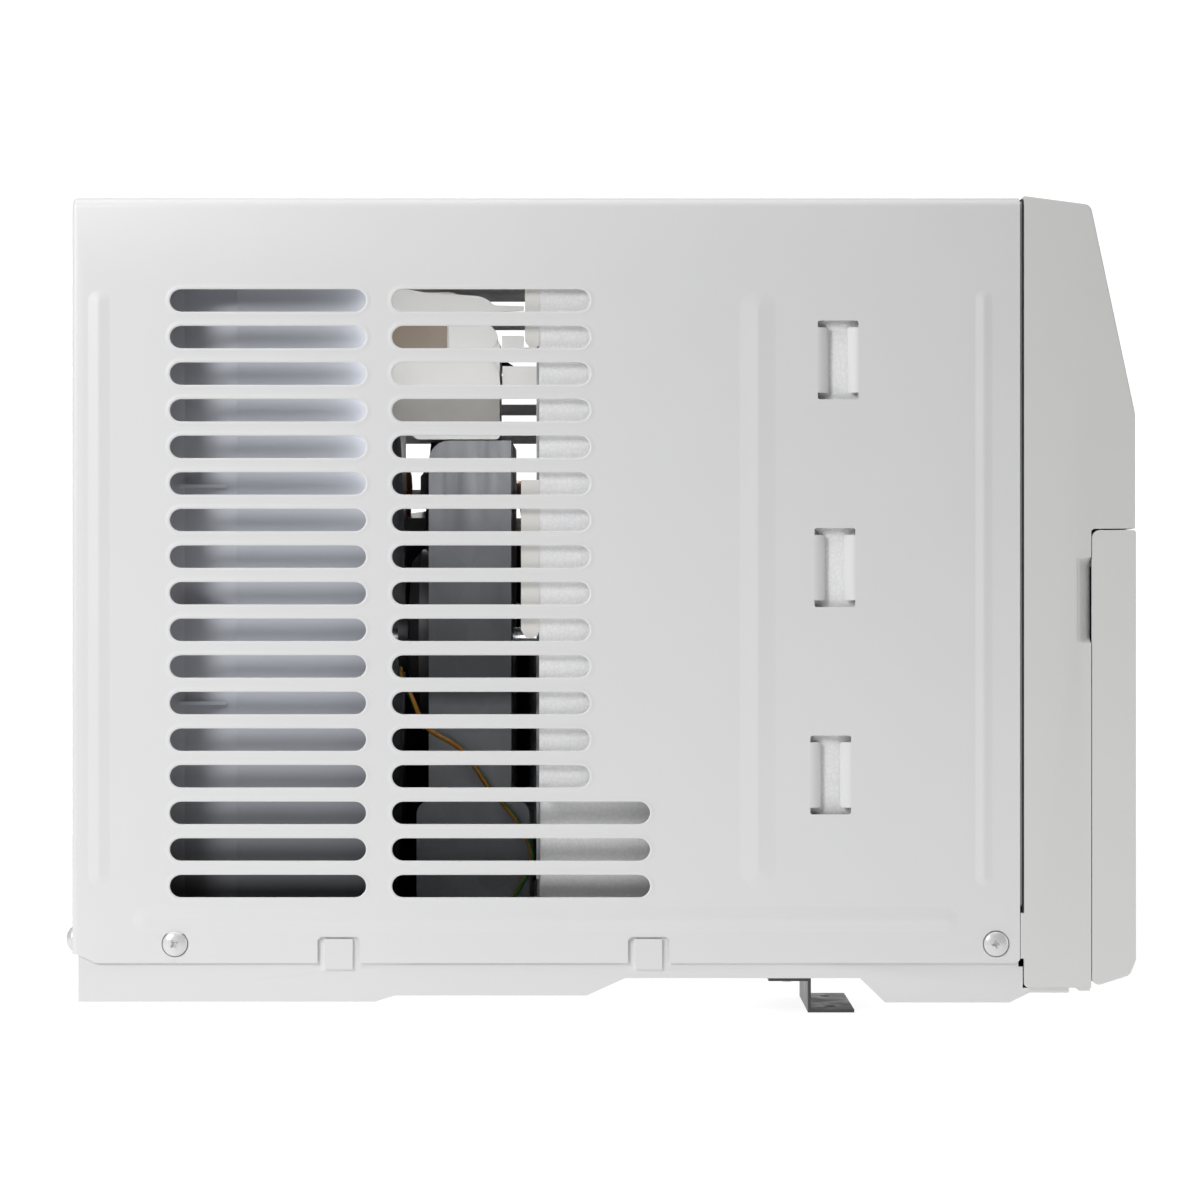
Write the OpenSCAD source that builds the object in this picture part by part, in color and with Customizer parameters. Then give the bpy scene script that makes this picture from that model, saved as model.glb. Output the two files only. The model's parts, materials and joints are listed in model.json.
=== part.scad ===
// Window air conditioner: U-shaped steel cabinet on a pressed pan, plastic front,
// double-shaft fan motor, sealed refrigerant circuit.
// Front faces -Y, up is +Z, the origin is the centre of the footprint on the sill plane.

/* [Cabinet] */
// Width across the two side panels
cabinet_w = 476; // [472:2:480]
// Height of the cabinet top above the sill plane
cabinet_top = 372; // [371:1:374]
// Height of the lower edge of the side panels
cabinet_low = 22.8; // [22:0.1:23.5]
// Sheet thickness of the cabinet
cabinet_sheet = 1; // [0.8:0.1:1.2]
// Outside radius of the two top bends
bend_r = 5; // [4:0.5:6]
// Height that ribs and beads stand proud
emboss = 0.8; // [0.5:0.1:1]

/* [Side slots] */
// Vertical distance from slot to slot
slot_pitch = 16.69; // [16.5:0.01:16.8]
// Height of a slot, kept under a finger's width
slot_h = 10.2; // [9.8:0.1:10.6]
// Height of the centre of the top left slot
slot_top = 324.9; // [324:0.1:326]
// Rows of slots on the left side
slot_rows = 17; // [16:1:17]
// Extra rows above them on the right side
extra_right_rows = 2; // [1:1:2]

/* [Front] */
// Lean of the upper front face from the vertical
slope = 12; // [11.5:0.5:12]
// Wall of the plastic mouldings
plastic_wall = 2.5; // [2.2:0.1:2.8]
// Number of outlet deflector vanes
vane_count = 6; // [6:1:6]
// Number of outlet louvre blades
louvre_count = 3; // [3:1:3]

/* [Fan system] */
// Height of the fan shaft
shaft_z = 168; // [166:1:170]
// Sideways place of the fan shaft
shaft_x = -45; // [-48:1:-44]
// Outside radius of the condenser fan's slinger ring
fan_r = 142; // [140:1:143]
// Outside radius of the blower wheel
blower_r = 90; // [86:1:91]
// Blades of the blower wheel
blower_blades = 36; // [30:1:40]
// Radius of the motor shaft
shaft_r = 6.35; // [6:0.05:6.5]

/* [Hidden] */
$fn = 48;
eps = 0.5;               // how far a cutter runs past the face it cuts
ball_margin = 1.12;      // least size of a pipe bend's ball, as a share of the pipe
mitre_margin = 1.08;     // the same, as a share of the mitre's reach

half_w = cabinet_w / 2;
inner_w = half_w - cabinet_sheet;
cabinet_front = -191.5;
cabinet_rear = 240.8;

// slots, ribs and screws of a side panel, as [rear, front] along Y
bank_rear = [196.1, 106.7];
bank_front = [94.8, 4.6];
low_front = -22.8;       // front end of the three longer low slots
long_rows = 3;
right_gap_shift = -14;   // the solid strip between the banks lies further forward on the right
rib_span = [57.9, 329.5];
ribs = [[228.5, 10], [-72, 16.4], [-175, 8]];       // [y, width]
bead_y = [213.4, -163.2];
bead_z = [36.9, 48.3];
lance_centres = [[-108.6, 297.8], [-107.1, 203.1], [-105.2, 108.5]];
lance_size = [18.7, 36];
lance_end_slot = 2.7;
flap_w = 5.5;
flap_root = 0.8;         // how far a flap's root overlaps the sheet it is bent from
notch_y = [[109.6, 128.8], [-31.5, -12.8]];
notch_top = 34.7;
side_screw_y = [193.8, -180.6];
side_screw_z = 31.5;
rear_screw_x = 229;
rear_screw_z = 33;
top_screws = [[205, 209.5], [120, 180.3], [150, -108.3], [205, -168]];
truss_r = 5.7;
truss_h = 2.2;
top_head_h = 1.5;
rear_head_h = 3.6;

// pan: underside as [y, z] from the rear to the front
pan_sheet = 1.2;
pan_side_x = inner_w - 0.4;
pan_side_top = 44;
pan_underside = [[238, 5], [102.6, 5], [93.5, 7.8], [5.9, 7.8], [-11.4, 15.7],
                 [-118.6, 15.7], [-130, 4.6], [-187, 4.6], [-196, 9.1], [-214, 9.1]];
rear_floor = 5 + pan_sheet;
mid_floor = 7.8 + pan_sheet;
drain_at = [60, 145];
drain_r = 9;

// sill brackets under the pan
bracket_x = [166, 236];
bracket_web_y = -94.9;
bracket_sheet = 1.4;
bracket_top = 15.7;
bracket_foot_y = -116.1;
bracket_hole_y = -106;

// front frame
frame_rear = -193.4;
step_y = -224;           // lower front wall, behind the grille
face_y = -244;           // vertical band above the grille
step_z = 220.8;
frame_low = 11.5;
drip_tab = 1.4;          // how far the tabs under the frame's front corners reach down
slope_foot_z = 273.5;
frame_top_rear = 372.6;
frame_top_front = 368.6;
slope_top_y = face_y + (frame_top_front - slope_foot_z) * tan(slope);
inlet_x = 212;
inlet_z = [32, 206];
recess_y = -217.5;
recess_z = [168.7, 207.9];
recess_depth = 6;
tongue = 9;              // how far the frame reaches into the cabinet

// air outlet, in the sloping face's own frame: x across, z up the slope, y into the unit
outlet_x = [-212, 96];
outlet_v = [9, 83];
throat_depth = 56;
louvre_depth = 13;       // pivot line behind the face
louvre_chord = 24;
louvre_pitch = (outlet_v[1] - outlet_v[0]) / louvre_count;
vane_depth = 40;
vane_chord = 26;
vane_pitch = (outlet_x[1] - outlet_x[0]) / vane_count;
vane_sheet = 1.6;
crank = 9;               // from a pivot to its link pin
pivot_r = 1.5;
link_pin_r = 1.15;
pivot_gap = 0.1;         // running clearance on the radius
louvre_link_x = 84;
vane_link_v = 20;

// control panel, in the same sloping frame
fascia_x = [110, 214];
fascia_v = [9, 83];
fascia_y = [-0.3, 1.2];
button_r = 5.5;
button_gap = 0.3;
button_row = 42;
power_v = 22;
button_x = [128, 162, 196];
rocker_x = 179;
rocker_size = [30, 12];
rocker_pivot_y = 3.4;
display_x = [132, 192];
display_v = [57, 75];
board_y = 11;

// inlet grille
grille_face = -244.4;
grille_back = -224.4;
grille_top = 220.2;
hinge_y = -228.5;
hinge_z = 16;
hinge_x = 190;
hinge_r = 2;
slat_pitch = 9.3;
slat_z = [38, 205];
slat_x = 205;
filter_x = 207;
filter_z = [32, 208];
filter_y = [-235, -231.5];

// refrigeration and air path
evap_x = 200;
evap_y = [-214, -190];
evap_z = [31, 214];
cond_x = 206;
cond_y = [203, 231];
cond_z = [10, 338];
tube_r = 3.5;
foam_front = -176;       // behind the front side screw's tip
foam_rear = 27.8;
foam_left_x = [-234, -208];
foam_step_z = 99;        // below this the foam stands back from the lowest slots
foam_step = 9;
duct_x = [-200, 100];
duct_z = [271, 346];
duct_front = -168;
scroll_y = [-72, 20];
scroll_top = 262;
scroll_r0 = blower_r + 10;
scroll_growth = 36;
tongue_angle = 65;       // of the scroll's tongue, above the horizontal
bulkhead_y = 28;
shroud_x = [-222, 109];
shroud_y = [107, 201.3];
shroud_z = [10, 352];
wing_y = 170;
wing_x = 205;
comp = [166, 90];
comp_r = 54;
comp_foot_r = 66;
comp_foot_z = 18;
comp_h = 219;
accu = [94, 57];
bracket_side = [-102, 12];
bracket_y = [43.8, 84.5];
bracket_foot = [34.7, 90.4];
bracket_shoulder = 89;
bracket_z = 267;

// ---------- helpers ----------

function unit(v) = v / norm(v);
function turn(a) = a > 180 ? a - 360 : (a < -180 ? a + 360 : a);

// points of the arc that rounds corner p between its neighbours a and b
function corner(a, p, b, r, n = 6) =
  r <= 0 ? [p] :
  let (u = unit(a - p), v = unit(b - p))
  let (half = acos(u * v) / 2, c = p + unit(u + v) * r / sin(half))
  let (s = p + u * r / tan(half) - c, e = p + v * r / tan(half) - c)
  let (a0 = atan2(s[1], s[0]), da = turn(atan2(e[1], e[0]) - a0))
  [for (i = [0:n]) c + r * [cos(a0 + da * i / n), sin(a0 + da * i / n)]];

// a closed outline whose corners have the given radii
function rounded(p, r) =
  let (n = len(p))
  [for (i = [0:n - 1]) each corner(p[(i + n - 1) % n], p[i], p[(i + 1) % n], r[i])];

module box(low, high) {
  translate(low) cube(high - low);
}

// an outline in (y, z), extruded along X
module along_x(x0, x1) {
  translate([x0, 0, 0]) rotate([90, 0, 90]) linear_extrude(x1 - x0) children();
}

// an outline in (x, z), extruded along Y
module along_y(y0, y1) {
  translate([0, y1, 0]) rotate([90, 0, 0]) linear_extrude(y1 - y0) children();
}

module rect(low, high) {
  translate(low) square(high - low);
}

module rounded_rect(low, high, r) {
  rect(low + [r, 0], high - [r, 0]);
  rect(low + [0, r], high - [0, r]);
  for (x = [low[0] + r, high[0] - r], y = [low[1] + r, high[1] - r]) translate([x, y]) circle(r);
}

// a rectangle with full-round ends
module capsule(low, high) {
  tall = high[1] - low[1] > high[0] - low[0];
  r = min(high[0] - low[0], high[1] - low[1]) / 2;
  step = tall ? [0, r] : [r, 0];
  rect(low + step, high - step);
  for (c = [low + [r, r], high - [r, r]]) translate(c) circle(r);
}

module rod_x(x0, x1, y, z, r) {
  translate([x0, y, z]) rotate([0, 90, 0]) cylinder(h = x1 - x0, r = r);
}

module rod_y(x, y0, y1, z, r) {
  translate([x, y0, z]) rotate([-90, 0, 0]) cylinder(h = y1 - y0, r = r);
}

module rod_z(x, y, z0, z1, r) {
  translate([x, y, z0]) cylinder(h = z1 - z0, r = r);
}

// a profile in (radius, y) turned about the fan shaft
module about_shaft() {
  translate([shaft_x, 0, shaft_z]) rotate([-90, 0, 0]) rotate_extrude($fn = 96) children();
}

// turns +Z to the direction d
module aim(d) {
  rotate([0, acos(d[2] / norm(d)), atan2(d[1], d[0])]) children();
}

// a round rod through a list of points, with a ball at each bend that clears the rods' mitre
module run(points, r) {
  for (i = [0:len(points) - 2]) {
    d = points[i + 1] - points[i];
    translate(points[i]) aim(d) cylinder(h = norm(d), r = r, $fn = 20);
  }
  for (i = [1:len(points) - 2]) {
    a = unit(points[i] - points[i - 1]);
    b = unit(points[i + 1] - points[i]);
    grow = max(ball_margin, mitre_margin / cos(acos(a * b) / 2));
    translate(points[i]) aim(a + b) sphere(r * grow, $fn = 20);
  }
}

// places children in the sloping face's own frame
module on_slope() {
  translate([0, face_y, slope_foot_z]) rotate([-slope, 0, 0]) children();
}

module both_sides() {
  children();
  mirror([1, 0, 0]) children();
}

// ---------- steel cabinet and pan ----------

// inverted U in (x, z), drawn in from the outside by inset
module wrapper_outline(inset, low) {
  w = half_w - inset;
  top = cabinet_top - inset;
  r = max(bend_r - inset, 0.5);
  rect([-w, low], [w, top - r]);
  rect([-w + r, low], [w - r, top]);
  for (s = [-1, 1]) translate([s * (w - r), top - r]) circle(r);
}

module slot_outline(y_rear, y_front, z) {
  capsule([y_front, z - slot_h / 2], [y_rear, z + slot_h / 2]);
}

module slots_left() {
  for (k = [0:slot_rows - 1]) {
    z = slot_top - k * slot_pitch;
    slot_outline(bank_rear[0], bank_rear[1], z);
    slot_outline(bank_front[0], k < slot_rows - long_rows ? bank_front[1] : low_front, z);
  }
}

module slots_right() {
  for (k = [-extra_right_rows:slot_rows - 1]) {
    z = slot_top - k * slot_pitch;
    slot_outline(bank_rear[0], bank_rear[1] + right_gap_shift, z);
    slot_outline(bank_front[0] + right_gap_shift, bank_front[1] + right_gap_shift, z);
  }
}

// raised ribs and the long bead, as an outline smaller by inset
module rib_outlines(inset) {
  for (b = ribs)
    capsule([b[0] - b[1] / 2 + inset, rib_span[0] + inset],
            [b[0] + b[1] / 2 - inset, rib_span[1] - inset]);
  capsule([bead_y[1] + inset, bead_z[0] + inset], [bead_y[0] - inset, bead_z[1] - inset]);
}

// one I-shaped opening: two end slots joined by the gaps left by two bent-in flaps
module lance_outline() {
  w = lance_size[0];
  h = lance_size[1];
  for (c = lance_centres) translate(c) {
    translate([-w / 2, -h / 2]) square([w, lance_end_slot]);
    translate([-w / 2, h / 2 - lance_end_slot]) square([w, lance_end_slot]);
    translate([-w / 2 + 2, -h / 2]) square([w - 4, h]);
  }
}

// the flaps of one I-shaped opening, folded inwards
module lance_flaps() {
  for (c = lance_centres, s = [-1, 1])
    translate([0, c[0] + s * (lance_size[0] / 2 - 2), c[1]])
      rotate([0, 0, -s * 28])
        translate([0, s < 0 ? -flap_root : -flap_w, -lance_size[1] / 2 + lance_end_slot + 0.6])
          cube([cabinet_sheet, flap_w + flap_root, lance_size[1] - 2 * lance_end_slot - 1.2]);
}

module cabinet() {
  color("whitesmoke") {
    difference() {
      union() {
        along_y(cabinet_front, cabinet_rear) difference() {
          wrapper_outline(0, cabinet_low);
          wrapper_outline(cabinet_sheet, cabinet_low - eps);
        }
        along_y(cabinet_rear - cabinet_sheet, cabinet_rear) difference() {
          wrapper_outline(0, cabinet_low);
          wrapper_outline(15, cabinet_low - eps);
        }
        both_sides() along_x(half_w - eps, half_w + emboss) rib_outlines(0);
      }
      both_sides() along_x(inner_w - eps, inner_w + emboss) rib_outlines(1);
      along_x(-half_w - 2, -inner_w + 2) slots_left();
      along_x(inner_w - 2, half_w + 2) slots_right();
      along_x(-half_w - 2, -inner_w + 2) lance_outline();
      along_x(inner_w - 2, half_w + 2) lance_outline();
      both_sides() {
        for (n = notch_y)
          box([inner_w - 2, n[0], cabinet_low - eps], [half_w + 2, n[1], notch_top]);
        for (y = side_screw_y) rod_x(inner_w - 2, half_w + 2, y, side_screw_z, 2.3);
        rod_y(rear_screw_x, cabinet_rear - 3, cabinet_rear + 2, rear_screw_z, 2.3);
        for (p = top_screws) rod_z(p[0], p[1], cabinet_top - 3, cabinet_top + 2, 2.3);
        along_x(inner_w - 12, half_w + 2)
          polygon([[cabinet_rear - 10.5, cabinet_low - eps], [cabinet_rear + eps, cabinet_low - eps],
                   [cabinet_rear + eps, cabinet_low + 5]]);
      }
    }
    both_sides() translate([inner_w - 0.6, 0, 0]) lance_flaps();
  }
}

module pan_profile(lift) {
  n = len(pan_underside);
  polygon(concat([for (p = pan_underside) p + [0, lift]],
                 [for (i = [n - 1:-1:0]) pan_underside[i] + [0, lift + pan_sheet]]));
}

module base_pan() {
  n = len(pan_underside);
  rear = pan_underside[0][0];
  front = pan_underside[n - 1][0];
  lip_top = frame_low - 0.2;
  color("whitesmoke") difference() {
    union() {
      along_x(-pan_side_x, pan_side_x) pan_profile(0);
      both_sides() {
        along_x(pan_side_x - pan_sheet, pan_side_x)
          polygon(concat(pan_underside, [[front, lip_top], [frame_rear + 0.5, lip_top],
                                         [frame_rear + 0.5, 21], [cabinet_front + 0.6, 21],
                                         [cabinet_front + 0.6, pan_side_top], [rear, pan_side_top]]));
        for (t = notch_y)
          box([pan_side_x - eps, t[0] + 3.2, 20], [half_w - 0.2, t[1] - 3.2, notch_top - 1]);
      }
      box([-pan_side_x, rear - pan_sheet, 5], [pan_side_x, rear, cabinet_low + 14]);
      box([-pan_side_x, front, 9.1], [pan_side_x, front + pan_sheet, lip_top]);
      rod_z(drain_at[0], drain_at[1], 3.2, rear_floor, drain_r + 5);
      for (f = comp_feet()) rod_z(f[0], f[1], f[2] - 1, f[2] + 1, 12);
    }
    rod_z(drain_at[0], drain_at[1], 2, 20, drain_r);
    both_sides() {
      for (y = side_screw_y) rod_x(pan_side_x - 4, half_w + 1, y, side_screw_z, 2.1);
      rod_y(rear_screw_x, rear - 4, rear + 2, rear_screw_z, 2.1);
      for (x = bracket_bolt_x()) rod_z(x, bracket_web_y + 9, 12, 20, 2.1);
    }
  }
}

// bolts of one sill bracket, along its length
function bracket_bolt_x() = [bracket_x[0] + 14, bracket_x[1] - 14];

module bottom_brackets() {
  color("gainsboro") both_sides() difference() {
    union() {
      box([bracket_x[0], bracket_web_y - bracket_sheet, 0], [bracket_x[1], bracket_web_y, bracket_top]);
      box([bracket_x[0], bracket_web_y - bracket_sheet, bracket_top - bracket_sheet],
          [bracket_x[1], bracket_web_y + 18, bracket_top]);
      box([bracket_x[0], bracket_foot_y, 0], [bracket_x[1], bracket_web_y, bracket_sheet]);
    }
    for (x = bracket_bolt_x()) {
      rod_z(x, bracket_web_y + 9, bracket_top - 4, bracket_top + 1, 2.1);
      rod_z(x, bracket_hole_y, -1, bracket_sheet + 1, 2.5);
    }
  }
}

// a low domed head with a cross recess, seated at z = 0, shank below
module screw(head_r, head_h, shank_r, shank_l) {
  dome = (head_r * head_r + head_h * head_h) / (2 * head_h);
  difference() {
    intersection() {
      translate([0, 0, head_h - dome]) sphere(dome, $fn = 64);
      cylinder(h = head_h + 1, r = head_r);
    }
    for (a = [45, 135]) rotate([0, 0, a])
      translate([-head_r * 0.42, -0.6, head_h * 0.4]) cube([head_r * 0.84, 1.2, head_h]);
  }
  translate([0, 0, -shank_l]) cylinder(h = shank_l + 0.1, r = shank_r);
}

module cabinet_screws() {
  color("silver") {
    both_sides() {
      for (y = side_screw_y)
        translate([half_w, y, side_screw_z]) rotate([0, 90, 0]) screw(truss_r, truss_h, 2, 7);
      for (p = top_screws)
        translate([p[0], p[1], cabinet_top]) screw(truss_r, top_head_h, 2, 7);
      translate([rear_screw_x, cabinet_rear, rear_screw_z])
        rotate([-90, 0, 0]) screw(truss_r, rear_head_h, 2, 7);
    }
  }
}

module bracket_screws() {
  color("silver") both_sides() for (x = bracket_bolt_x())
    translate([x, bracket_web_y + 9, bracket_top - bracket_sheet])
      rotate([180, 0, 0]) screw(4.4, 2, 2, 7);
}

module rear_guard() {
  x = half_w - 9;
  z = [pan_side_top - 6, cabinet_top - 9];
  wires = 17;
  posts = 9;
  color("whitesmoke") {
    along_y(236, 239.4) difference() {
      rounded_rect([-x, z[0]], [x, z[1]], 8);
      rounded_rect([-x + 7, z[0] + 7], [x - 7, z[1] - 7], 5);
    }
    for (i = [1:wires])
      rod_x(-x + 4, x - 4, 237.2, z[0] + i * (z[1] - z[0]) / (wires + 1), 1.1);
    for (i = [1:posts])
      translate([-x + i * 2 * x / (posts + 1), 0, 0])
        box([-1.5, 237.4, z[0] + 4], [1.5, 238.9, z[1] - 4]);
  }
}

// ---------- plastic front ----------

function frame_outline() = rounded(
  [[frame_rear, frame_top_rear], [slope_top_y, frame_top_front], [face_y, slope_foot_z],
   [face_y, step_z], [step_y, step_z], [step_y, frame_low], [frame_rear, frame_low]],
  [0, 4, 14, 0.6, 0, 0, 2.2]);

function frame_cavity() =
  let (w = plastic_wall)
  [[frame_rear + 1, frame_top_rear - w], [slope_top_y + w, frame_top_front - w],
   [face_y + w, slope_foot_z], [face_y + w, step_z + w], [step_y + w, step_z + w],
   [step_y + w, frame_low + w], [frame_rear + 1, frame_low + w]];

module finger_recess_block(grow) {
  box([half_w - recess_depth - grow, step_y - (grow > 0 ? 0 : 1), recess_z[0] - grow],
      [half_w + (grow > 0 ? -1 : 1), recess_y + grow, recess_z[1] + grow]);
}

// the four walls of the outlet, which carry the louvre and vane pivots
module outlet_throat() {
  w = plastic_wall;
  difference() {
    box([outlet_x[0] - w, 1, outlet_v[0] - w], [outlet_x[1] + w, throat_depth, outlet_v[1] + w]);
    box([outlet_x[0], -1, outlet_v[0]], [outlet_x[1], throat_depth + 1, outlet_v[1]]);
    for (i = [0:louvre_count - 1])
      rod_x(outlet_x[0] - 5, outlet_x[1] + 5, louvre_depth, louvre_v(i), pivot_r + pivot_gap);
    for (i = [0:vane_count - 1])
      rod_z(vane_x(i), vane_depth, outlet_v[0] - 5, outlet_v[1] + 5, pivot_r + pivot_gap);
  }
}

function louvre_v(i) = outlet_v[0] + louvre_pitch * (i + 0.5);
function vane_x(i) = outlet_x[0] + vane_pitch * (i + 0.5);

module front_frame() {
  w = plastic_wall;
  color("lightgray") {
    difference() {
      union() {
        difference() {
          along_x(-half_w, half_w) polygon(frame_outline());
          along_x(-half_w + w, half_w - w) polygon(frame_cavity());
          on_slope() box([outlet_x[0], -5, outlet_v[0]], [outlet_x[1], 20, outlet_v[1]]);
        }
        both_sides() finger_recess_block(1.5);
        along_y(frame_rear - 2, frame_rear + tongue) difference() {
          rounded_rect([-inner_w + 0.6, 48], [inner_w - 0.6, cabinet_top - 1.6], 3);
          rounded_rect([-inner_w + 2.6, 40], [inner_w - 2.6, cabinet_top - 3.6], 1.5);
        }
        both_sides()
          box([half_w - w, frame_rear - 1, cabinet_low + 2],
              [half_w - 0.1, cabinet_front - 0.3, 45.6]);
        on_slope() outlet_throat();
        on_slope()
          for (x = [fascia_x[0] + 5, fascia_x[1] - 5], v = [fascia_v[0] + 5, fascia_v[1] - 5])
            translate([x, 1.6, v]) rotate([-90, 0, 0]) cylinder(h = board_y - 1.6, r = 3);
        for (x = [-70, 70]) box([x - 3, step_y, inlet_z[0] - 1], [x + 3, step_y + w, inlet_z[1] + 1]);
        both_sides() {
          box([half_w - 16, step_y + 0.6, frame_low - drip_tab],
              [half_w - 0.2, step_y + 5.6, frame_low + 0.5]);
          box([hinge_x - 3.5, hinge_y, hinge_z - 3.5], [hinge_x + 3.5, step_y + 1, hinge_z + 3.5]);
          rod_x(hinge_x - 3.5, hinge_x + 3.5, hinge_y, hinge_z, 3.5);
        }
      }
      both_sides() {
        finger_recess_block(0);
        rod_x(hinge_x - 6, hinge_x + 6, hinge_y, hinge_z, hinge_r + pivot_gap);
        box([144, step_y - 1, 203.5], [156, step_y + w + 1, 209.5]);
      }
      for (x = [[-inlet_x, -73], [-67, 67], [73, inlet_x]])
        box([x[0], step_y - 1, inlet_z[0]], [x[1], step_y + w + 1, inlet_z[1]]);
      on_slope() {
        box([fascia_x[0], -5, fascia_v[0]], [fascia_x[1], 1.4, fascia_v[1]]);
        for (x = button_x) button_bore(x, button_row, 8.5);
        button_bore(button_x[0], power_v, 8.5);
        box([rocker_x - 18, -1, power_v - 10], [rocker_x + 18, 6, power_v + 10]);
        box([display_x[0] + 2, -1, display_v[0] + 2], [display_x[1] - 2, 6, display_v[1] - 2]);
      }
      rod_x(half_w - 6, half_w + 2, -208, 60, 8);
    }
  }
}

module button_bore(x, v, r) {
  translate([x, -2, v]) rotate([-90, 0, 0]) cylinder(h = 8, r = r);
}

module control_fascia() {
  color("dimgray") on_slope() {
    difference() {
      translate([0, fascia_y[1], 0]) rotate([90, 0, 0]) linear_extrude(fascia_y[1] - fascia_y[0])
        rounded_rect([fascia_x[0] + 0.4, fascia_v[0] + 0.4], [fascia_x[1] - 0.4, fascia_v[1] - 0.4], 4);
      for (x = button_x) button_bore(x, button_row, button_r + button_gap);
      button_bore(button_x[0], power_v, button_r + button_gap);
      box([rocker_x - rocker_size[0] / 2 - 0.5, -2, power_v - rocker_size[1] / 2 - 0.5],
          [rocker_x + rocker_size[0] / 2 + 0.5, 3, power_v + rocker_size[1] / 2 + 0.5]);
      box([display_x[0], -2, display_v[0]], [display_x[1], 0.4, display_v[1]]);
      box([display_x[0] + 2, -2, display_v[0] + 2], [display_x[1] - 2, 3, display_v[1] - 2]);
    }
    for (s = [-1, 1]) difference() {
      box([rocker_x - 2.5, fascia_y[1] - 0.2, power_v + s * 8.2 - 1.2],
          [rocker_x + 2.5, rocker_pivot_y + 2, power_v + s * 8.2 + 1.2]);
      rod_z(rocker_x, rocker_pivot_y, power_v + s * 8.2 - 2, power_v + s * 8.2 + 2, 1 + pivot_gap);
    }
  }
}

module display_window() {
  color([0.08, 0.08, 0.1]) on_slope()
    box([display_x[0] + 0.15, -0.5, display_v[0] + 0.15],
        [display_x[1] - 0.15, 0.35, display_v[1] - 0.15]);
}

module push_button(x, v) {
  color("whitesmoke") on_slope() translate([x, 0, v]) rotate([-90, 0, 0]) {
    translate([0, 0, -1.4]) cylinder(h = 3.2, r = button_r);
    translate([0, 0, 1.6]) cylinder(h = 1, r = 7);
    translate([0, 0, 2.5]) cylinder(h = 4, r = 2);
  }
}

module temperature_rocker() {
  w = rocker_size[0] / 2;
  h = rocker_size[1] / 2;
  color("whitesmoke") on_slope() {
    box([rocker_x - w, -1.2, power_v - h], [rocker_x + w, 1.8, power_v + h]);
    box([rocker_x - 2.5, 1.6, power_v - h], [rocker_x + 2.5, rocker_pivot_y + 1, power_v + h]);
    rod_z(rocker_x, rocker_pivot_y, power_v - 9.6, power_v + 9.6, 1);
  }
}

// a small round switch standing on the board, in front of it
module switch_can(x, v) {
  translate([x, board_y - 2.9, v]) rotate([-90, 0, 0]) cylinder(h = 3, r = 3);
}

module circuit_board() {
  color("seagreen") on_slope() {
    box([fascia_x[0] + 1, board_y, fascia_v[0] + 1], [fascia_x[1] - 1, board_y + 1.6, fascia_v[1] - 1]);
    for (x = button_x) switch_can(x, button_row);
    switch_can(button_x[0], power_v);
    for (s = [-1, 1]) switch_can(rocker_x + s * 10, power_v);
    box([display_x[0] + 4, 3, display_v[0] + 3], [display_x[1] - 4, board_y + 0.1, display_v[1] - 3]);
  }
}

// an aerofoil-like blade section of the given chord, centred on its pivot
function blade_section(chord, thick) =
  let (n = 8)
  concat([for (i = [0:n]) [chord * (i / n - 0.5), thick / 2 * (0.35 + 0.65 * sin(180 * i / n))]],
         [for (i = [n:-1:0]) [chord * (i / n - 0.5), -thick / 2 * (0.35 + 0.65 * sin(180 * i / n))]]);

module louvre(i) {
  link = [louvre_link_x - 3.2, louvre_link_x + 3.2];
  color("gainsboro") on_slope() translate([0, louvre_depth, louvre_v(i)]) {
    difference() {
      along_x(outlet_x[0] + 1.2, outlet_x[1] - 1.2) polygon(blade_section(louvre_chord, 3));
      box([link[0], crank - 4.5, -4], [link[1], louvre_chord, 4]);
    }
    rod_x(outlet_x[0] - 2, outlet_x[0] + 6, 0, 0, pivot_r);
    rod_x(outlet_x[1] - 6, outlet_x[1] + 2, 0, 0, pivot_r);
    rod_x(link[0] - 1, link[1] + 1, crank, 0, link_pin_r);
  }
}

module louvre_link() {
  v = [louvre_v(0) - 3, louvre_v(louvre_count - 1) + 3];
  color("gainsboro") on_slope() difference() {
    along_x(louvre_link_x - 0.8, louvre_link_x + 0.8) translate([louvre_depth + crank, 0])
      rounded_rect([-2.4, v[0]], [2.4, v[1]], 2.2);
    for (i = [0:louvre_count - 1])
      rod_x(louvre_link_x - 5, louvre_link_x + 5, louvre_depth + crank, louvre_v(i),
            link_pin_r + pivot_gap);
  }
}

module vane(i) {
  h = [outlet_v[0] + 1, outlet_v[1] - 1];
  c = vane_chord / 2;
  notch = [vane_link_v - 3.2, vane_link_v + 3.2];
  color("gainsboro") on_slope() translate([vane_x(i), vane_depth, 0]) {
    difference() {
      along_x(-vane_sheet / 2, vane_sheet / 2) rounded_rect([-c, h[0]], [c, h[1]], 3);
      box([-3, crank - 4.5, notch[0]], [3, c + 1, notch[1]]);
    }
    rod_z(0, 0, outlet_v[0] - 2, h[0] + 6, pivot_r);
    rod_z(0, 0, h[1] - 6, outlet_v[1] + 2, pivot_r);
    rod_z(0, crank, notch[0] - 1, notch[1] + 1, link_pin_r);
  }
}

module vane_link() {
  color("gainsboro") on_slope() difference() {
    box([vane_x(0) - 4, vane_depth + crank - 2.4, vane_link_v - 1],
        [vane_x(vane_count - 1) + 4, vane_depth + crank + 2.4, vane_link_v + 1]);
    for (i = [0:vane_count - 1])
      rod_z(vane_x(i), vane_depth + crank, vane_link_v - 3, vane_link_v + 3,
            link_pin_r + pivot_gap);
  }
}

function grille_outline() = rounded(
  [[grille_back, grille_top], [grille_face, grille_top], [grille_face, 24],
   [grille_face + 2.9, 17.2], [grille_back, 11.8]],
  [3.6, 1.2, 6, 4, 3]);

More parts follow.
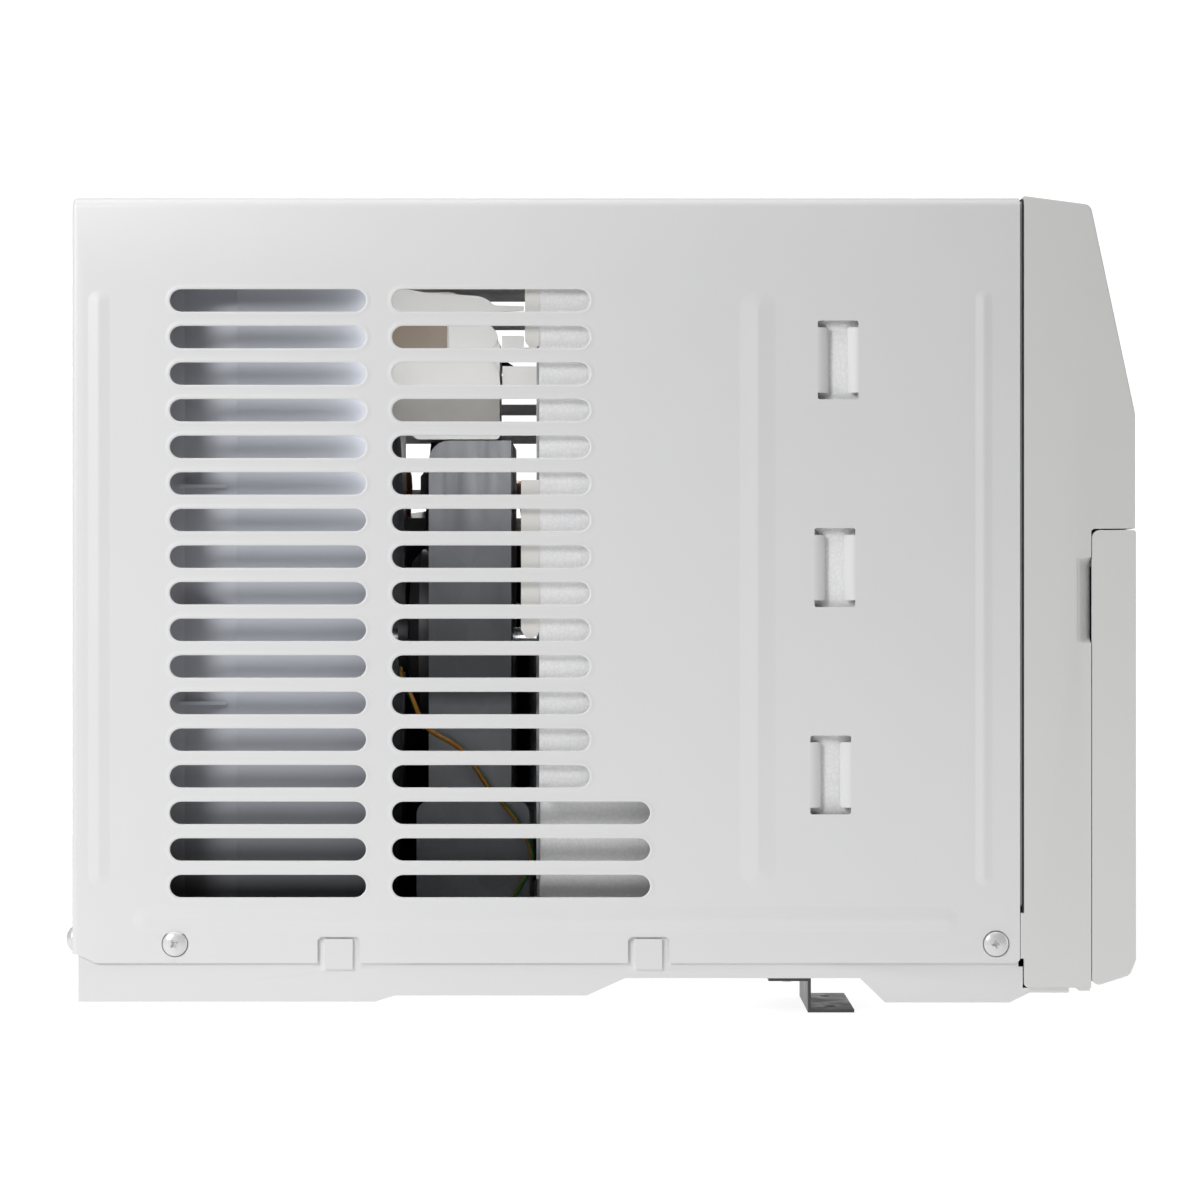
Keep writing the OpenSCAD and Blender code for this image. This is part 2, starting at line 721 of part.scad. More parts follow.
module inlet_grille() {
  w = plastic_wall;
  rows = floor((slat_z[1] - slat_z[0]) / slat_pitch);
  color("lightgray") {
    difference() {
      along_x(-half_w, half_w) polygon(grille_outline());
      along_x(-half_w + w, half_w - w)
        polygon([[grille_back + 1, grille_top - w], [grille_face + w, grille_top - w],
                 [grille_face + w, 25], [grille_face + w + 2.3, 19.6], [grille_back + 1, 14.3]]);
      box([-slat_x, grille_face - 1, slat_z[0]], [slat_x, grille_face + w + 1, slat_z[1]]);
      both_sides() box([hinge_x - 4, grille_face + 8, 8], [hinge_x + 4, grille_back + 2, hinge_z + 6]);
    }
    for (i = [1:rows]) {
      z = slat_z[0] + (i - 0.5) * slat_pitch;
      box([-slat_x - 1, grille_face + 0.5, z - 1], [slat_x + 1, grille_face + 8, z + 1]);
    }
    for (x = [-164:41:164])
      box([x - 1, grille_face + 2.5, slat_z[0] - 1], [x + 1, grille_face + 7, slat_z[1] + 1]);
    both_sides() {
      for (x = [hinge_x - 9, hinge_x + 4])
        box([x, hinge_y - 3.5, hinge_z - 2.5], [x + 5, hinge_y + 3.5, hinge_z + 4]);
      rod_x(hinge_x - 8, hinge_x + 8, hinge_y, hinge_z, hinge_r);
      box([filter_x + 0.4, grille_face + 1, 40], [filter_x + 2.4, filter_y[1] + 2, 200]);
      box([filter_x - 3, filter_y[1] + 0.4, 40], [filter_x + 2.4, filter_y[1] + 2, 200]);
      box([146, grille_face + 1, 205.5], [154, grille_back + 5, 207.5]);
    }
  }
}

module filter_frame() {
  color("dimgray") along_y(filter_y[0], filter_y[1]) difference() {
    rounded_rect([-filter_x, filter_z[0]], [filter_x, filter_z[1] - 4], 4);
    for (x = [-filter_x + 6:(2 * filter_x - 9) / 4:filter_x - 20], z = [0, 1])
      rect([x, filter_z[0] + 6 + z * 82],
           [x + (2 * filter_x - 21) / 4, filter_z[0] + 84 + z * 82]);
  }
}

module filter_mesh() {
  color("slategray") box([-filter_x + 5, filter_y[0] + 1.2, filter_z[0] + 5],
                         [filter_x - 5, filter_y[0] + 1.7, filter_z[1] - 9]);
}

// ---------- air path ----------

module foam_left() {
  x = foam_left_x;
  color("white") difference() {
    box([x[0], foam_front, 24], [x[1], foam_rear, 360]);
    box([x[0] - 1, -183, scroll_top], [x[1] + 1, duct_front, 361]);
    box([x[0] + 18, -60, 110], [x[1] + 1, -20, 300]);
    box([x[0] - 1, -36, 23], [x[0] + foam_step, foam_rear + 1, foam_step_z]);
  }
}

module foam_duct() {
  mouth = [shaft_x - scroll_r0 - scroll_growth, shaft_x + scroll_r0 * cos(tongue_angle)];
  color("white") {
    difference() {
      box([foam_left_x[1] + 0.5, duct_front, scroll_top + 0.5], [duct_x[1] + 10, foam_rear, 356]);
      box([duct_x[0], duct_front - 1, duct_z[0]], [duct_x[1], scroll_y[1], duct_z[1]]);
      box([mouth[0], scroll_y[0] + 1, scroll_top - 1], [mouth[1], scroll_y[1] - 1, duct_z[0] + 1]);
    }
    box([duct_x[1] + 5, -182, 24], [duct_x[1] + 18, foam_rear, scroll_top + 0.6]);
  }
}

// one point of the scroll, swept clockwise from the tongue by angle a
function scroll_point(a, extra) =
  let (r = scroll_r0 + extra + scroll_growth * a / (180 + tongue_angle))
  [shaft_x + r * cos(tongue_angle - a), shaft_z + r * sin(tongue_angle - a)];

module scroll_outline(extra) {
  left = shaft_x - scroll_r0 - scroll_growth - extra;
  steps = 24;
  polygon(concat([[scroll_point(0, extra)[0], scroll_top]],
                 [for (i = [0:steps]) scroll_point(i * (180 + tongue_angle) / steps, extra)],
                 [[left, scroll_top]]));
}

module blower_scroll() {
  color("gainsboro") {
    along_y(scroll_y[0], scroll_y[1]) difference() {
      scroll_outline(3);
      scroll_outline(0);
    }
    along_y(scroll_y[1] - 0.2, scroll_y[1] + 2.5) difference() {
      scroll_outline(3);
      translate([shaft_x, shaft_z]) circle(20);
    }
    along_y(scroll_y[0] - 3, scroll_y[0] + 0.2) difference() {
      rect([foam_left_x[1] + 1, 26], [duct_x[1] + 4.5, scroll_top]);
      translate([shaft_x, shaft_z]) circle(blower_r - 16, $fn = 96);
    }
  }
}

module bulkhead() {
  color("silver") along_y(bulkhead_y, bulkhead_y + 1.2) difference() {
    rect([-226, 26], [226, 358]);
    translate([shaft_x, shaft_z]) circle(32);
    rect([196, 190], [240, 240]);
    rect([120, 300], [160, 330]);
    rect([-230, 20], [-205, 60]);
  }
}

module drain_tray() {
  color("gray") difference() {
    box([-evap_x - 8, evap_y[0] - 5, 16], [evap_x + 8, evap_y[1] + 5, 34]);
    box([-evap_x - 6, evap_y[0] - 3.4, 18], [evap_x + 6, evap_y[1] + 3.4, 35]);
    rod_y(0, evap_y[1], evap_y[1] + 10, 20, 1.5);
  }
}

// U bends on both ends of a coil, paired up the height, with tubes through the core's ends
module return_bends(x, ys, z0, z1, pitch) {
  color("peru") {
    pairs = floor((z1 - z0) / (2 * pitch));
    for (s = [-1, 1], y = ys, k = [0:pairs - 1]) {
      z = z0 + pitch * (2 * k + (s > 0 ? 0.5 : 1.5)) + pitch / 2;
      translate([s * x, y, z]) rotate([90, 0, 0]) rotate([0, 0, s > 0 ? -90 : 90])
        rotate_extrude(angle = 180, $fn = 32) translate([pitch / 2, 0]) circle(tube_r, $fn = 20);
    }
  }
}

module coil_core(x, y, z, sheet) {
  box([-x, y[0], z[0]], [x, y[1], z[1]]);
  for (s = [-1, 1])
    box([s > 0 ? x : -x - sheet, y[0] - 1.5, z[0]], [s > 0 ? x + sheet : -x, y[1] + 1.5, z[1]]);
}

module evaporator_core() {
  color("silver") coil_core(evap_x, evap_y, evap_z, 1.2);
}

module evaporator_tubes() {
  return_bends(evap_x + 1.2, [evap_y[0] + 6, evap_y[1] - 6], evap_z[0] + 2, evap_z[1] - 4, 20);
}

module condenser_core() {
  color("silver") coil_core(cond_x, cond_y, cond_z, 1.2);
}

module condenser_tubes() {
  return_bends(cond_x + 1.2, [cond_y[0] + 7, cond_y[1] - 7], cond_z[0] + 4, cond_z[1] - 6, 22);
}

// plan outline of the shroud's walls, [x, y]
function shroud_plan(t) =
  [[shroud_x[0] + t, shroud_y[0] + t], [shroud_x[0] + t, 167], [shroud_x[0] + 8 + t, 192],
   [shroud_x[0] + 8 + t, shroud_y[1] + t], [wing_x - t, shroud_y[1] + t], [wing_x - t, wing_y + t],
   [shroud_x[1] - t, wing_y + t], [shroud_x[1] - t, shroud_y[0] + t]];

module fan_shroud() {
  gusset_z = [shroud_z[0] + 20, 140, 185, 240, shroud_z[1] - 20];
  color("lightslategray") {
    difference() {
      translate([0, 0, shroud_z[0]]) linear_extrude(shroud_z[1] - shroud_z[0]) polygon(shroud_plan(0));
      translate([0, 0, shroud_z[0] + 2]) linear_extrude(shroud_z[1] - shroud_z[0] - 4)
        polygon(shroud_plan(2));
      rod_y(shaft_x, shroud_y[0] - 2, shroud_y[0] + 10, shaft_z, fan_r + 4);
      box([shroud_x[0] + 20, 101, 0], [shroud_x[1] - 30, shroud_y[1] + 3, 26]);
    }
    for (z = gusset_z) translate([0, 0, z]) linear_extrude(1.5)
      polygon([[shroud_x[0] + 0.5, 172], [shroud_x[0] + 8.5, 172 + 22], [shroud_x[0] - 2, 193]]);
  }
}

// ---------- rotating parts ----------

module motor_shaft() {
  color("silver") about_shaft() polygon([[0, -62], [shaft_r, -62], [shaft_r, 164], [0, 164]]);
}

module condenser_fan() {
  blades = 5;
  color("darkslategray") {
    about_shaft()
      polygon([[shaft_r + 0.05, 124], [24, 124], [28, 130], [28, 158], [24, 158], [24, 134],
               [shaft_r + 6, 134], [shaft_r + 6, 156], [shaft_r + 0.05, 156]]);
    about_shaft()
      polygon([[fan_r - 4, 150], [fan_r, 148], [fan_r, 158], [fan_r - 2, 158], [fan_r - 4, 154]]);
    for (i = [0:blades - 1]) translate([shaft_x, 143, shaft_z]) rotate([0, i * 360 / blades, 0])
      intersection() {
        rotate([0, 0, 24]) flat_blade();
        rotate([90, 0, 0]) translate([0, 0, -40]) cylinder(h = 80, r = fan_r - 2, $fn = 96);
      }
  }
}

// a flat paddle standing up from the hub, widening to its tip
module flat_blade() {
  along_y(-1, 1) polygon([[-18, 24], [18, 24], [44, 80], [50, 150], [-22, 150], [-26, 80]]);
}

module blower_wheel() {
  front = -64;
  back = 12;
  color("gray") {
    about_shaft()
      polygon([[shaft_r + 0.05, back - 22], [14, back - 22], [14, back - 3], [blower_r, back - 3],
               [blower_r, back], [shaft_r + 0.05, back]]);
    about_shaft()
      polygon([[blower_r - 14, front], [blower_r, front],
               [blower_r, front + 3], [blower_r - 14, front + 3]]);
    for (i = [0:blower_blades - 1])
      translate([shaft_x, 0, shaft_z]) rotate([0, i * 360 / blower_blades, 0])
        translate([0, 0, blower_r - 13.5]) rotate([0, 35, 0])
          translate([-0.8, front + 1, 0]) cube([1.6, back - front - 3, 13]);
  }
}

module fan_motor() {
  color("dimgray") {
    difference() {
      union() {
        about_shaft() polygon([[0, 47], [16, 47], [16, 50], [40, 51], [46, 56], [46, 90],
                               [40, 95], [16, 97], [16, 102], [0, 102]]);
        for (a = [45:90:315])
          translate([shaft_x, 0, shaft_z]) rotate([0, a, 0]) rod_y(34, bracket_y[0] + 1.5, 56, 0, 3);
      }
      rod_y(shaft_x, 40, 110, shaft_z, shaft_r + 0.08);
    }
  }
}

module motor_bracket() {
  x = bracket_side;
  t = 1.5;
  color("gray") difference() {
    union() {
      box([x[0], bracket_y[0], mid_floor], [x[1], bracket_y[0] + t, bracket_z]);
      for (s = [0, 1]) {
        side = s == 0 ? [x[0], x[0] + t] : [x[1] - t, x[1]];
        out = s == 0 ? [x[0] - 2, x[0] - 2 + t] : [x[1] + 2 - t, x[1] + 2];
        flange = s == 0 ? [x[0] - 16, x[0]] : [x[1], x[1] + 16];
        along_x(side[0], side[1]) polygon(rounded(
          [[bracket_y[0], mid_floor], [bracket_y[1], mid_floor],
           [bracket_y[1], bracket_z], [bracket_y[0], bracket_z]],
          [0, 0, 10, 0]));
        along_x(out[0], out[1]) polygon(rounded(
          [[bracket_foot[0], mid_floor], [bracket_foot[1], mid_floor],
           [bracket_foot[1], bracket_shoulder], [bracket_foot[0], bracket_shoulder]],
          [0, 0, 6, 6]));
        box([flange[0], bracket_foot[0], mid_floor], [flange[1], bracket_foot[1], mid_floor + t]);
      }
    }
    rod_y(shaft_x, 40, 50, shaft_z, 20);
  }
}

// white plastic guide that carries the motor leads over the bracket
module wire_guide() {
  y = [49.4, 102.7];
  x = [bracket_side[0] - 2, bracket_side[0] + 34];
  color("ivory") difference() {
    along_x(x[0], x[1]) polygon(rounded(
      [[y[0], bracket_z + 0.5], [y[1] - 12, bracket_z + 0.5], [y[1], bracket_z + 14],
       [y[1], 340], [y[0] + 20, 340], [y[0], 316]], [2, 4, 8, 8, 12, 8]));
    box([x[0] + 3, y[0] + 5, bracket_z + 8], [x[1] + 1, y[1] - 5, 334]);
  }
}

// ---------- sealed system ----------

// feet of the compressor as [x, y, floor height]
function comp_feet() = [for (a = [90, 210, 330])
  let (p = [comp[0] + comp_foot_r * cos(a), comp[1] + comp_foot_r * sin(a)])
  [p[0], p[1], p[1] > 95 ? rear_floor : mid_floor]];

module compressor() {
  z0 = comp_foot_z + 3;
  color("#222222") {
    translate([comp[0], comp[1], 0]) rotate_extrude($fn = 96)
      polygon([[0, z0], [comp_r - 10, z0], [comp_r - 3, z0 + 3], [comp_r, z0 + 10],
               [comp_r, z0 + comp_h - 24], [comp_r - 3, z0 + comp_h - 16],
               [comp_r - 14, z0 + comp_h - 6], [0, z0 + comp_h]]);
    difference() {
      translate([0, 0, comp_foot_z]) linear_extrude(3.2) {
        for (f = comp_feet()) {
          translate([f[0], f[1]]) circle(9);
          polygon([comp + [-22, 0], comp + [22, 0], [f[0] + 8, f[1]], [f[0] - 8, f[1]]]);
        }
        translate(comp) circle(34);
      }
      for (f = comp_feet()) rod_z(f[0], f[1], 10, 30, 5.1);
    }
  }
}

module compressor_grommets() {
  color("#333333") for (f = comp_feet()) difference() {
    union() {
      rod_z(f[0], f[1], f[2] + 1, comp_foot_z, 9.5);
      rod_z(f[0], f[1], comp_foot_z - 0.1, comp_foot_z + 5, 5);
      rod_z(f[0], f[1], comp_foot_z + 3.3, comp_foot_z + 7, 7.5);
    }
    rod_z(f[0], f[1], 0, 40, 3.1);
  }
}

module compressor_studs() {
  color("silver") for (f = comp_feet()) {
    rod_z(f[0], f[1], f[2] + 1, comp_foot_z + 15, 3);
    rod_z(f[0], f[1], comp_foot_z + 7, comp_foot_z + 8.2, 7);
    translate([f[0], f[1], comp_foot_z + 8.2]) cylinder(h = 5, r = 5.8, $fn = 6);
  }
}

module accumulator() {
  color("#222222") {
    translate([accu[0], accu[1], 0]) rotate_extrude($fn = 64)
      polygon([[0, 62], [4, 62], [4, 66], [14, 72], [19, 80], [19, 178], [14, 186],
               [4, 190], [4, 196], [0, 196]]);
    run([[accu[0], accu[1], 64], [accu[0], accu[1], 46], [accu[0] + 14, accu[1] + 8, 40],
         [comp[0] - comp_r + 4, comp[1] - 12, 40]], 4);
  }
}

module terminal_cover() {
  z = comp_foot_z + comp_h + 1.5;
  color("#1c1c1c") translate([comp[0] + 4, comp[1] - 10, z]) rotate_extrude($fn = 48)
    polygon([[0, 5], [20, 2], [22, 5], [22, 20], [18, 25], [0, 27]]);
}

module discharge_pipe() {
  color("peru") run([[comp[0] - 24, comp[1] + 20, 234], [comp[0] - 22.4, comp[1] + 20.8, 262],
                     [comp[0] + 10, 140, 277.3], [213.6, 166, 282.6], [218.7, 194, 315.4],
                     [216.4, 208.3, 331.2], [cond_x + 1.4, 210, 333]], 4);
}

module suction_pipe() {
  color("peru") run([[accu[0], accu[1], 195.6], [accu[0], accu[1], 232], [accu[0] + 20, 48, 248],
                     [180, 42, 246], [210, 38, 232], [212, 20, 222], [213, -60, 214], [213, -160, 206],
                     [211, evap_y[1] - 6, 196]], 4.8);
}

module filter_drier() {
  color("peru") translate([224, 118, 60]) rotate([-90, 0, 0]) rotate_extrude($fn = 40)
    polygon([[0, 0], [3, 0], [4, 5], [9, 12], [9, 58], [4, 66], [3, 72], [0, 72]]);
}

module capillary_tube() {
  color("peru") {
    run([[224, 118.5, 60], [224, 104, 62], [226, 84, 110], [226, 50, 180], [224, 30, 212],
         [222, -40, 196], [222, -150, 180], [216, evap_y[0] + 10, 172]], 1.5);
    run([[224, 189.5, 60], [225.6, 204, 63.5], [228, 219, 84], [229, 223.4, 318], [223, 224.5, 330],
         [cond_x + 1.4, cond_y[1] - 7, 333]], 3);
  }
}

// ---------- electrics ----------

module control_box() {
  low = [124, -178, 232];
  high = [230, -70, 350];
  color("silver") difference() {
    box(low, high);
    box(low + [1.2, -1, 1.2], high - [1.2, 1.2, 1.2]);
    box([low[0] + 12, high[1] - 3, low[2] + 60], [low[0] + 30, high[1] + 1, low[2] + 76]);
  }
}

module run_capacitor() {
  color("silver") translate([204, -150, 233.4]) rotate_extrude($fn = 48)
    polygon([[0, 0], [19, 0], [20, 2], [20, 78], [18, 80], [0, 80]]);
}

module wire_harness() {
  color("#2b2b2b") run([[145, -74, 300], [144, -20, 312], [140, 20, 315], [138, 40, 312],
                        [118, 60, 322], [60, 72, 330], [-20, 76, 322], [-60, 78, 300],
                        [-62, 84, 240], [-60, 84, shaft_z + 45]], 4);
}

module earth_wire() {
  color("orange") run([[-84, 99.5, 154], [-99, 98, 149], [-106.8, 93, 141], [-107.2, 86, 126.3],
                       [-107.9, 68, 114.5], [-107.4, 54.6, 96], [-108, 40.3, 79], [-107.3, 33.2, 60.5],
                       [-107.9, 40, 46], [-108.6, 48, 30], [-110, 52, mid_floor + 3]], 1.25);
}

module thermistor() {
  color("#c87533") rod_z(70, evap_y[0] - 2.6, 166, 196, 2.4);
}

module cord_gland() {
  color("#222222") translate([half_w - 5, -208, 60]) rotate([0, 90, 0]) rotate_extrude($fn = 48)
    polygon([[4.2, 0], [10.5, 0], [10.5, 2.4], [7.7, 2.4],
             [7.7, 5.1], [10, 5.1], [10, 6.4], [4.2, 6.4]]);
}

// ---------- which node to draw ----------

base_pan();
cabinet();
rear_guard();
front_frame();
bulkhead();
foam_left();
foam_duct();
blower_scroll();
evaporator_core();
evaporator_tubes();
drain_tray();
condenser_core();
condenser_tubes();
fan_shroud();
compressor();
compressor_grommets();
compressor_studs();
accumulator();
terminal_cover();
discharge_pipe();
suction_pipe();
capillary_tube();
filter_drier();
fan_motor();
motor_bracket();
wire_guide();
control_box();
circuit_board();
run_capacitor();
control_fascia();
display_window();
cord_gland();
bottom_brackets();
cabinet_screws();
bracket_screws();
earth_wire();
wire_harness();
thermistor();
motor_shaft();
condenser_fan();
blower_wheel();
inlet_grille();
filter_frame();
filter_mesh();
louvre(0);  // louvre_1
louvre(1);  // louvre_2
louvre(2);  // louvre_3
louvre_link();
vane(0);  // vane_1
vane(1);  // vane_2
vane(2);  // vane_3
vane(3);  // vane_4
vane(4);  // vane_5
vane(5);  // vane_6
vane_link();
push_button(button_x[0], power_v);  // button_power
push_button(button_x[0], button_row);  // button_mode
push_button(button_x[1], button_row);  // button_fan
push_button(button_x[2], button_row);  // button_timer
temperature_rocker();
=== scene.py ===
"""Looks of the window air conditioner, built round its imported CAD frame.

Metres, Z up, front towards -Y. Helpers that take a bmesh work in millimetres."""

import json
import math
import random

import bmesh
import bpy
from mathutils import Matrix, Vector
from mathutils.geometry import delaunay_2d_cdt

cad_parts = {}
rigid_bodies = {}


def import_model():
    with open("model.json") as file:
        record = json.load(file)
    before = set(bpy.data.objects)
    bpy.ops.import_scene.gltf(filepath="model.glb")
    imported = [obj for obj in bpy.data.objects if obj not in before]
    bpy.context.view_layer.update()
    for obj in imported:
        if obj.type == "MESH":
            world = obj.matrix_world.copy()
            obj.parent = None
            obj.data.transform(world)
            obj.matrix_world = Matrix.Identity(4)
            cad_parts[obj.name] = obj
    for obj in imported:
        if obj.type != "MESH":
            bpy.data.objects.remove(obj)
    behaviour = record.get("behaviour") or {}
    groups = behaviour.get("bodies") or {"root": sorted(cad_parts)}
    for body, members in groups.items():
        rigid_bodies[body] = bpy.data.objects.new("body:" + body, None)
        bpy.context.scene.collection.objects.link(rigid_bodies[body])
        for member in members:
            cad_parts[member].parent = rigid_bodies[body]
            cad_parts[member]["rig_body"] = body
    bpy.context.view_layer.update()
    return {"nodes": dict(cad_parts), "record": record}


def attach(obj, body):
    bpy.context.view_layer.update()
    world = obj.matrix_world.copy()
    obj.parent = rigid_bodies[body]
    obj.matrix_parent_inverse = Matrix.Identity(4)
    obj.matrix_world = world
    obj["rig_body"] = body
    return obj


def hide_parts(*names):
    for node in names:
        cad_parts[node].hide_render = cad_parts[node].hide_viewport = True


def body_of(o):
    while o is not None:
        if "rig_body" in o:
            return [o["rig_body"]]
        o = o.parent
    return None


MM = 0.001

# steel cabinet, in millimetres, as in the CAD source
HALF_W = 238.0
SHEET = 1.0
CABINET_TOP = 372.0
CABINET_LOW = 22.8
CABINET_FRONT = -191.5
CABINET_REAR = 240.8
BEND_R = 5.0
REAR_BEND_R = 2.2
REAR_LIP = 15.0
REAR_CHAMFER = (230.3, 26.75)   # where the lower rear corner's cut starts along Y and ends in Z
SCREW_WELL_R = 6.1
SLOT_TOP, SLOT_PITCH, SLOT_H, SLOT_ROWS = 324.9, 16.69, 10.2, 17
LONG_ROWS = 3
EXTRA_RIGHT_ROWS = 2
BANK_REAR = (196.1, 106.7)
BANK_FRONT = (94.8, 4.6)
LOW_FRONT = -22.8
RIGHT_SHIFT = -14.0
RIB_SPAN = (57.9, 329.5)
RIBS = ((228.5, 10.0), (-72.0, 16.4), (-175.0, 8.0))
RIB_HEIGHT = 0.8
BEAD_Y = (213.4, -163.2)
BEAD_Z = (36.9, 48.3)
LANCES = ((-108.6, 297.8), (-107.1, 203.1), (-105.2, 108.5))
LANCE_W, LANCE_H, LANCE_SLOT = 18.7, 36.0, 2.7
NOTCHES = ((109.6, 128.8), (-31.5, -12.8))
NOTCH_TOP = 34.7
SIDE_SCREWS = ((193.8, 31.5), (-180.6, 31.5))
TOP_SCREWS = ((205.0, 209.5), (120.0, 180.3), (150.0, -108.3), (205.0, -168.0))
REAR_SCREW = (229.0, 33.0)

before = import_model()
NODES = before["nodes"]
RECORD = before["record"]
SLOT_OF = {s["node"]: s["material_slot"] for s in RECORD["subparts"]}


def body_of_node(name):
    """The CAD body that a node belongs to."""
    return body_of(NODES[name])[0]


# ---------- camera, stage and light ----------

CAMERA_AT = (-1.890, 0.0, 0.1883)
CAMERA_LENS = 108.7


def make_camera():
    data = bpy.data.cameras.new("camera")
    data.lens = CAMERA_LENS
    data.sensor_width = 36.0
    data.clip_end = 50.0
    cam = bpy.data.objects.new("camera", data)
    cam.location = CAMERA_AT
    cam.rotation_mode = "QUATERNION"
    cam.rotation_quaternion = Vector((1.0, 0.0, 0.0)).to_track_quat("-Z", "Y")
    bpy.context.collection.objects.link(cam)
    bpy.context.scene.camera = cam


def area_light(name, at, aim, size, watts):
    data = bpy.data.lights.new(name, "AREA")
    data.shape = "RECTANGLE"
    data.size, data.size_y = size
    data.energy = watts
    lamp = bpy.data.objects.new(name, data)
    lamp.location = at
    lamp.rotation_mode = "QUATERNION"
    lamp.rotation_quaternion = (Vector(aim) - Vector(at)).to_track_quat("-Z", "Y")
    lamp.visible_camera = False
    bpy.context.collection.objects.link(lamp)


AMBIENT = 0.05
AMBIENT_TINT = (0.985, 0.99, 1.0, 1.0)
BACKDROP = 1.15
FLOOR_RADIUS = 1.1
FLOOR_DROP = 0.0004   # keeps the floor just under the feet
FLOOR_BASE = 0.16
FLOOR_GLOW = 0.90
# area lights: name, place, target, size and watts
LIGHTS = (
    ("key_rear", (-1.1, 0.9, 0.8), (-0.2, 0.12, 0.22), (0.5, 0.5), 11.0),
    ("top_soft", (-0.3, 0.1, 2.0), (0.0, 0.0, 0.2), (2.0, 2.0), 22.0),
    ("front_soft", (-0.45, -2.2, 0.55), (-0.1, -0.1, 0.2), (0.3, 1.2), 7.0),
    ("right_soft", (1.9, -0.2, 0.8), (0.1, 0.0, 0.2), (1.2, 1.2), 11.0),
    ("inner_fill", (-0.2335, 0.066, 0.285), (-0.1, 0.066, 0.285), (0.07, 0.10), 0.094),
)


def make_world():
    """White seen behind the object, and a dimmer even light from it."""
    world = bpy.data.worlds.new("studio")
    bpy.context.scene.world = world
    world.use_nodes = True
    tree = world.node_tree
    tree.nodes.clear()
    out = tree.nodes.new("ShaderNodeOutputWorld")
    mix = tree.nodes.new("ShaderNodeMixShader")
    seen = tree.nodes.new("ShaderNodeBackground")
    lit = tree.nodes.new("ShaderNodeBackground")
    path = tree.nodes.new("ShaderNodeLightPath")
    seen.inputs["Color"].default_value = (1.0, 1.0, 1.0, 1.0)
    seen.inputs["Strength"].default_value = BACKDROP
    lit.inputs["Color"].default_value = AMBIENT_TINT
    lit.inputs["Strength"].default_value = AMBIENT
    tree.links.new(path.outputs["Is Camera Ray"], mix.inputs["Fac"])
    tree.links.new(lit.outputs[0], mix.inputs[1])
    tree.links.new(seen.outputs[0], mix.inputs[2])
    tree.links.new(mix.outputs[0], out.inputs["Surface"])


def make_floor():
    """A wide pale floor, bright enough to meet the backdrop without a line."""
    bm = bmesh.new()
    bmesh.ops.create_circle(bm, cap_ends=True, radius=FLOOR_RADIUS, segments=96)
    mesh = bpy.data.meshes.new("floor")
    bm.to_mesh(mesh)
    bm.free()
    floor = bpy.data.objects.new("floor", mesh)
    floor.location = (0.0, 0.0, -FLOOR_DROP)
    bpy.context.collection.objects.link(floor)
    mat = bpy.data.materials.new("floor_white")
    mat.use_nodes = True
    shader = mat.node_tree.nodes["Principled BSDF"]
    shader.inputs["Base Color"].default_value = (FLOOR_BASE, FLOOR_BASE, FLOOR_BASE, 1.0)
    shader.inputs["Roughness"].default_value = 0.9
    shader.inputs["Specular IOR Level"].default_value = 0.2
    shader.inputs["Emission Color"].default_value = (1.0, 1.0, 1.0, 1.0)
    shader.inputs["Emission Strength"].default_value = FLOOR_GLOW
    mesh.materials.append(mat)


def make_stage():
    make_camera()
    make_world()
    make_floor()
    for light in LIGHTS:
        area_light(*light)
    bpy.context.scene.view_settings.view_transform = "Standard"


# ---------- materials ----------

def coords(tree):
    node = tree.nodes.new("ShaderNodeTexCoord")
    return node.outputs["Object"]


def noise(tree, scale, detail, stretch=None):
    """A noise factor over object space; stretch squeezes it along axes for brushed or drawn looks."""
    vector = coords(tree)
    if stretch:
        mapping = tree.nodes.new("ShaderNodeMapping")
        mapping.inputs["Scale"].default_value = stretch
        tree.links.new(vector, mapping.inputs["Vector"])
        vector = mapping.outputs["Vector"]
    node = tree.nodes.new("ShaderNodeTexNoise")
    node.inputs["Scale"].default_value = scale
    node.inputs["Detail"].default_value = detail
    tree.links.new(vector, node.inputs["Vector"])
    return node.outputs["Fac"]


def cells(tree, scale, output="Distance", feature="F1"):
    node = tree.nodes.new("ShaderNodeTexVoronoi")
    node.feature = feature
    node.inputs["Scale"].default_value = scale
    tree.links.new(coords(tree), node.inputs["Vector"])
    return node.outputs[output]


def remap(tree, value, low, high, source=(0.3, 0.7)):
    node = tree.nodes.new("ShaderNodeMapRange")
    node.inputs["From Min"].default_value = source[0]
    node.inputs["From Max"].default_value = source[1]
    node.inputs["To Min"].default_value = low
    node.inputs["To Max"].default_value = high
    tree.links.new(value, node.inputs["Value"])
    return node.outputs["Result"]


def blend_colours(tree, factor, first, second):
    node = tree.nodes.new("ShaderNodeMix")
    node.data_type = "RGBA"
    tree.links.new(factor, node.inputs["Factor"])
    for index, colour in ((6, first), (7, second)):
        if isinstance(colour, tuple):
            node.inputs[index].default_value = (*colour, 1.0)
        else:
            tree.links.new(colour, node.inputs[index])
    return node.outputs[2]


def add_bump(tree, shader, height, strength, distance, below=None):
    node = tree.nodes.new("ShaderNodeBump")
    node.inputs["Strength"].default_value = strength
    node.inputs["Distance"].default_value = distance
    tree.links.new(height, node.inputs["Height"])
    if below is not None:
        tree.links.new(below, node.inputs["Normal"])
    tree.links.new(node.outputs["Normal"], shader.inputs["Normal"])
    return node.outputs["Normal"]


def shade(colour, factor):
    return tuple(min(1.0, c * factor) for c in colour)


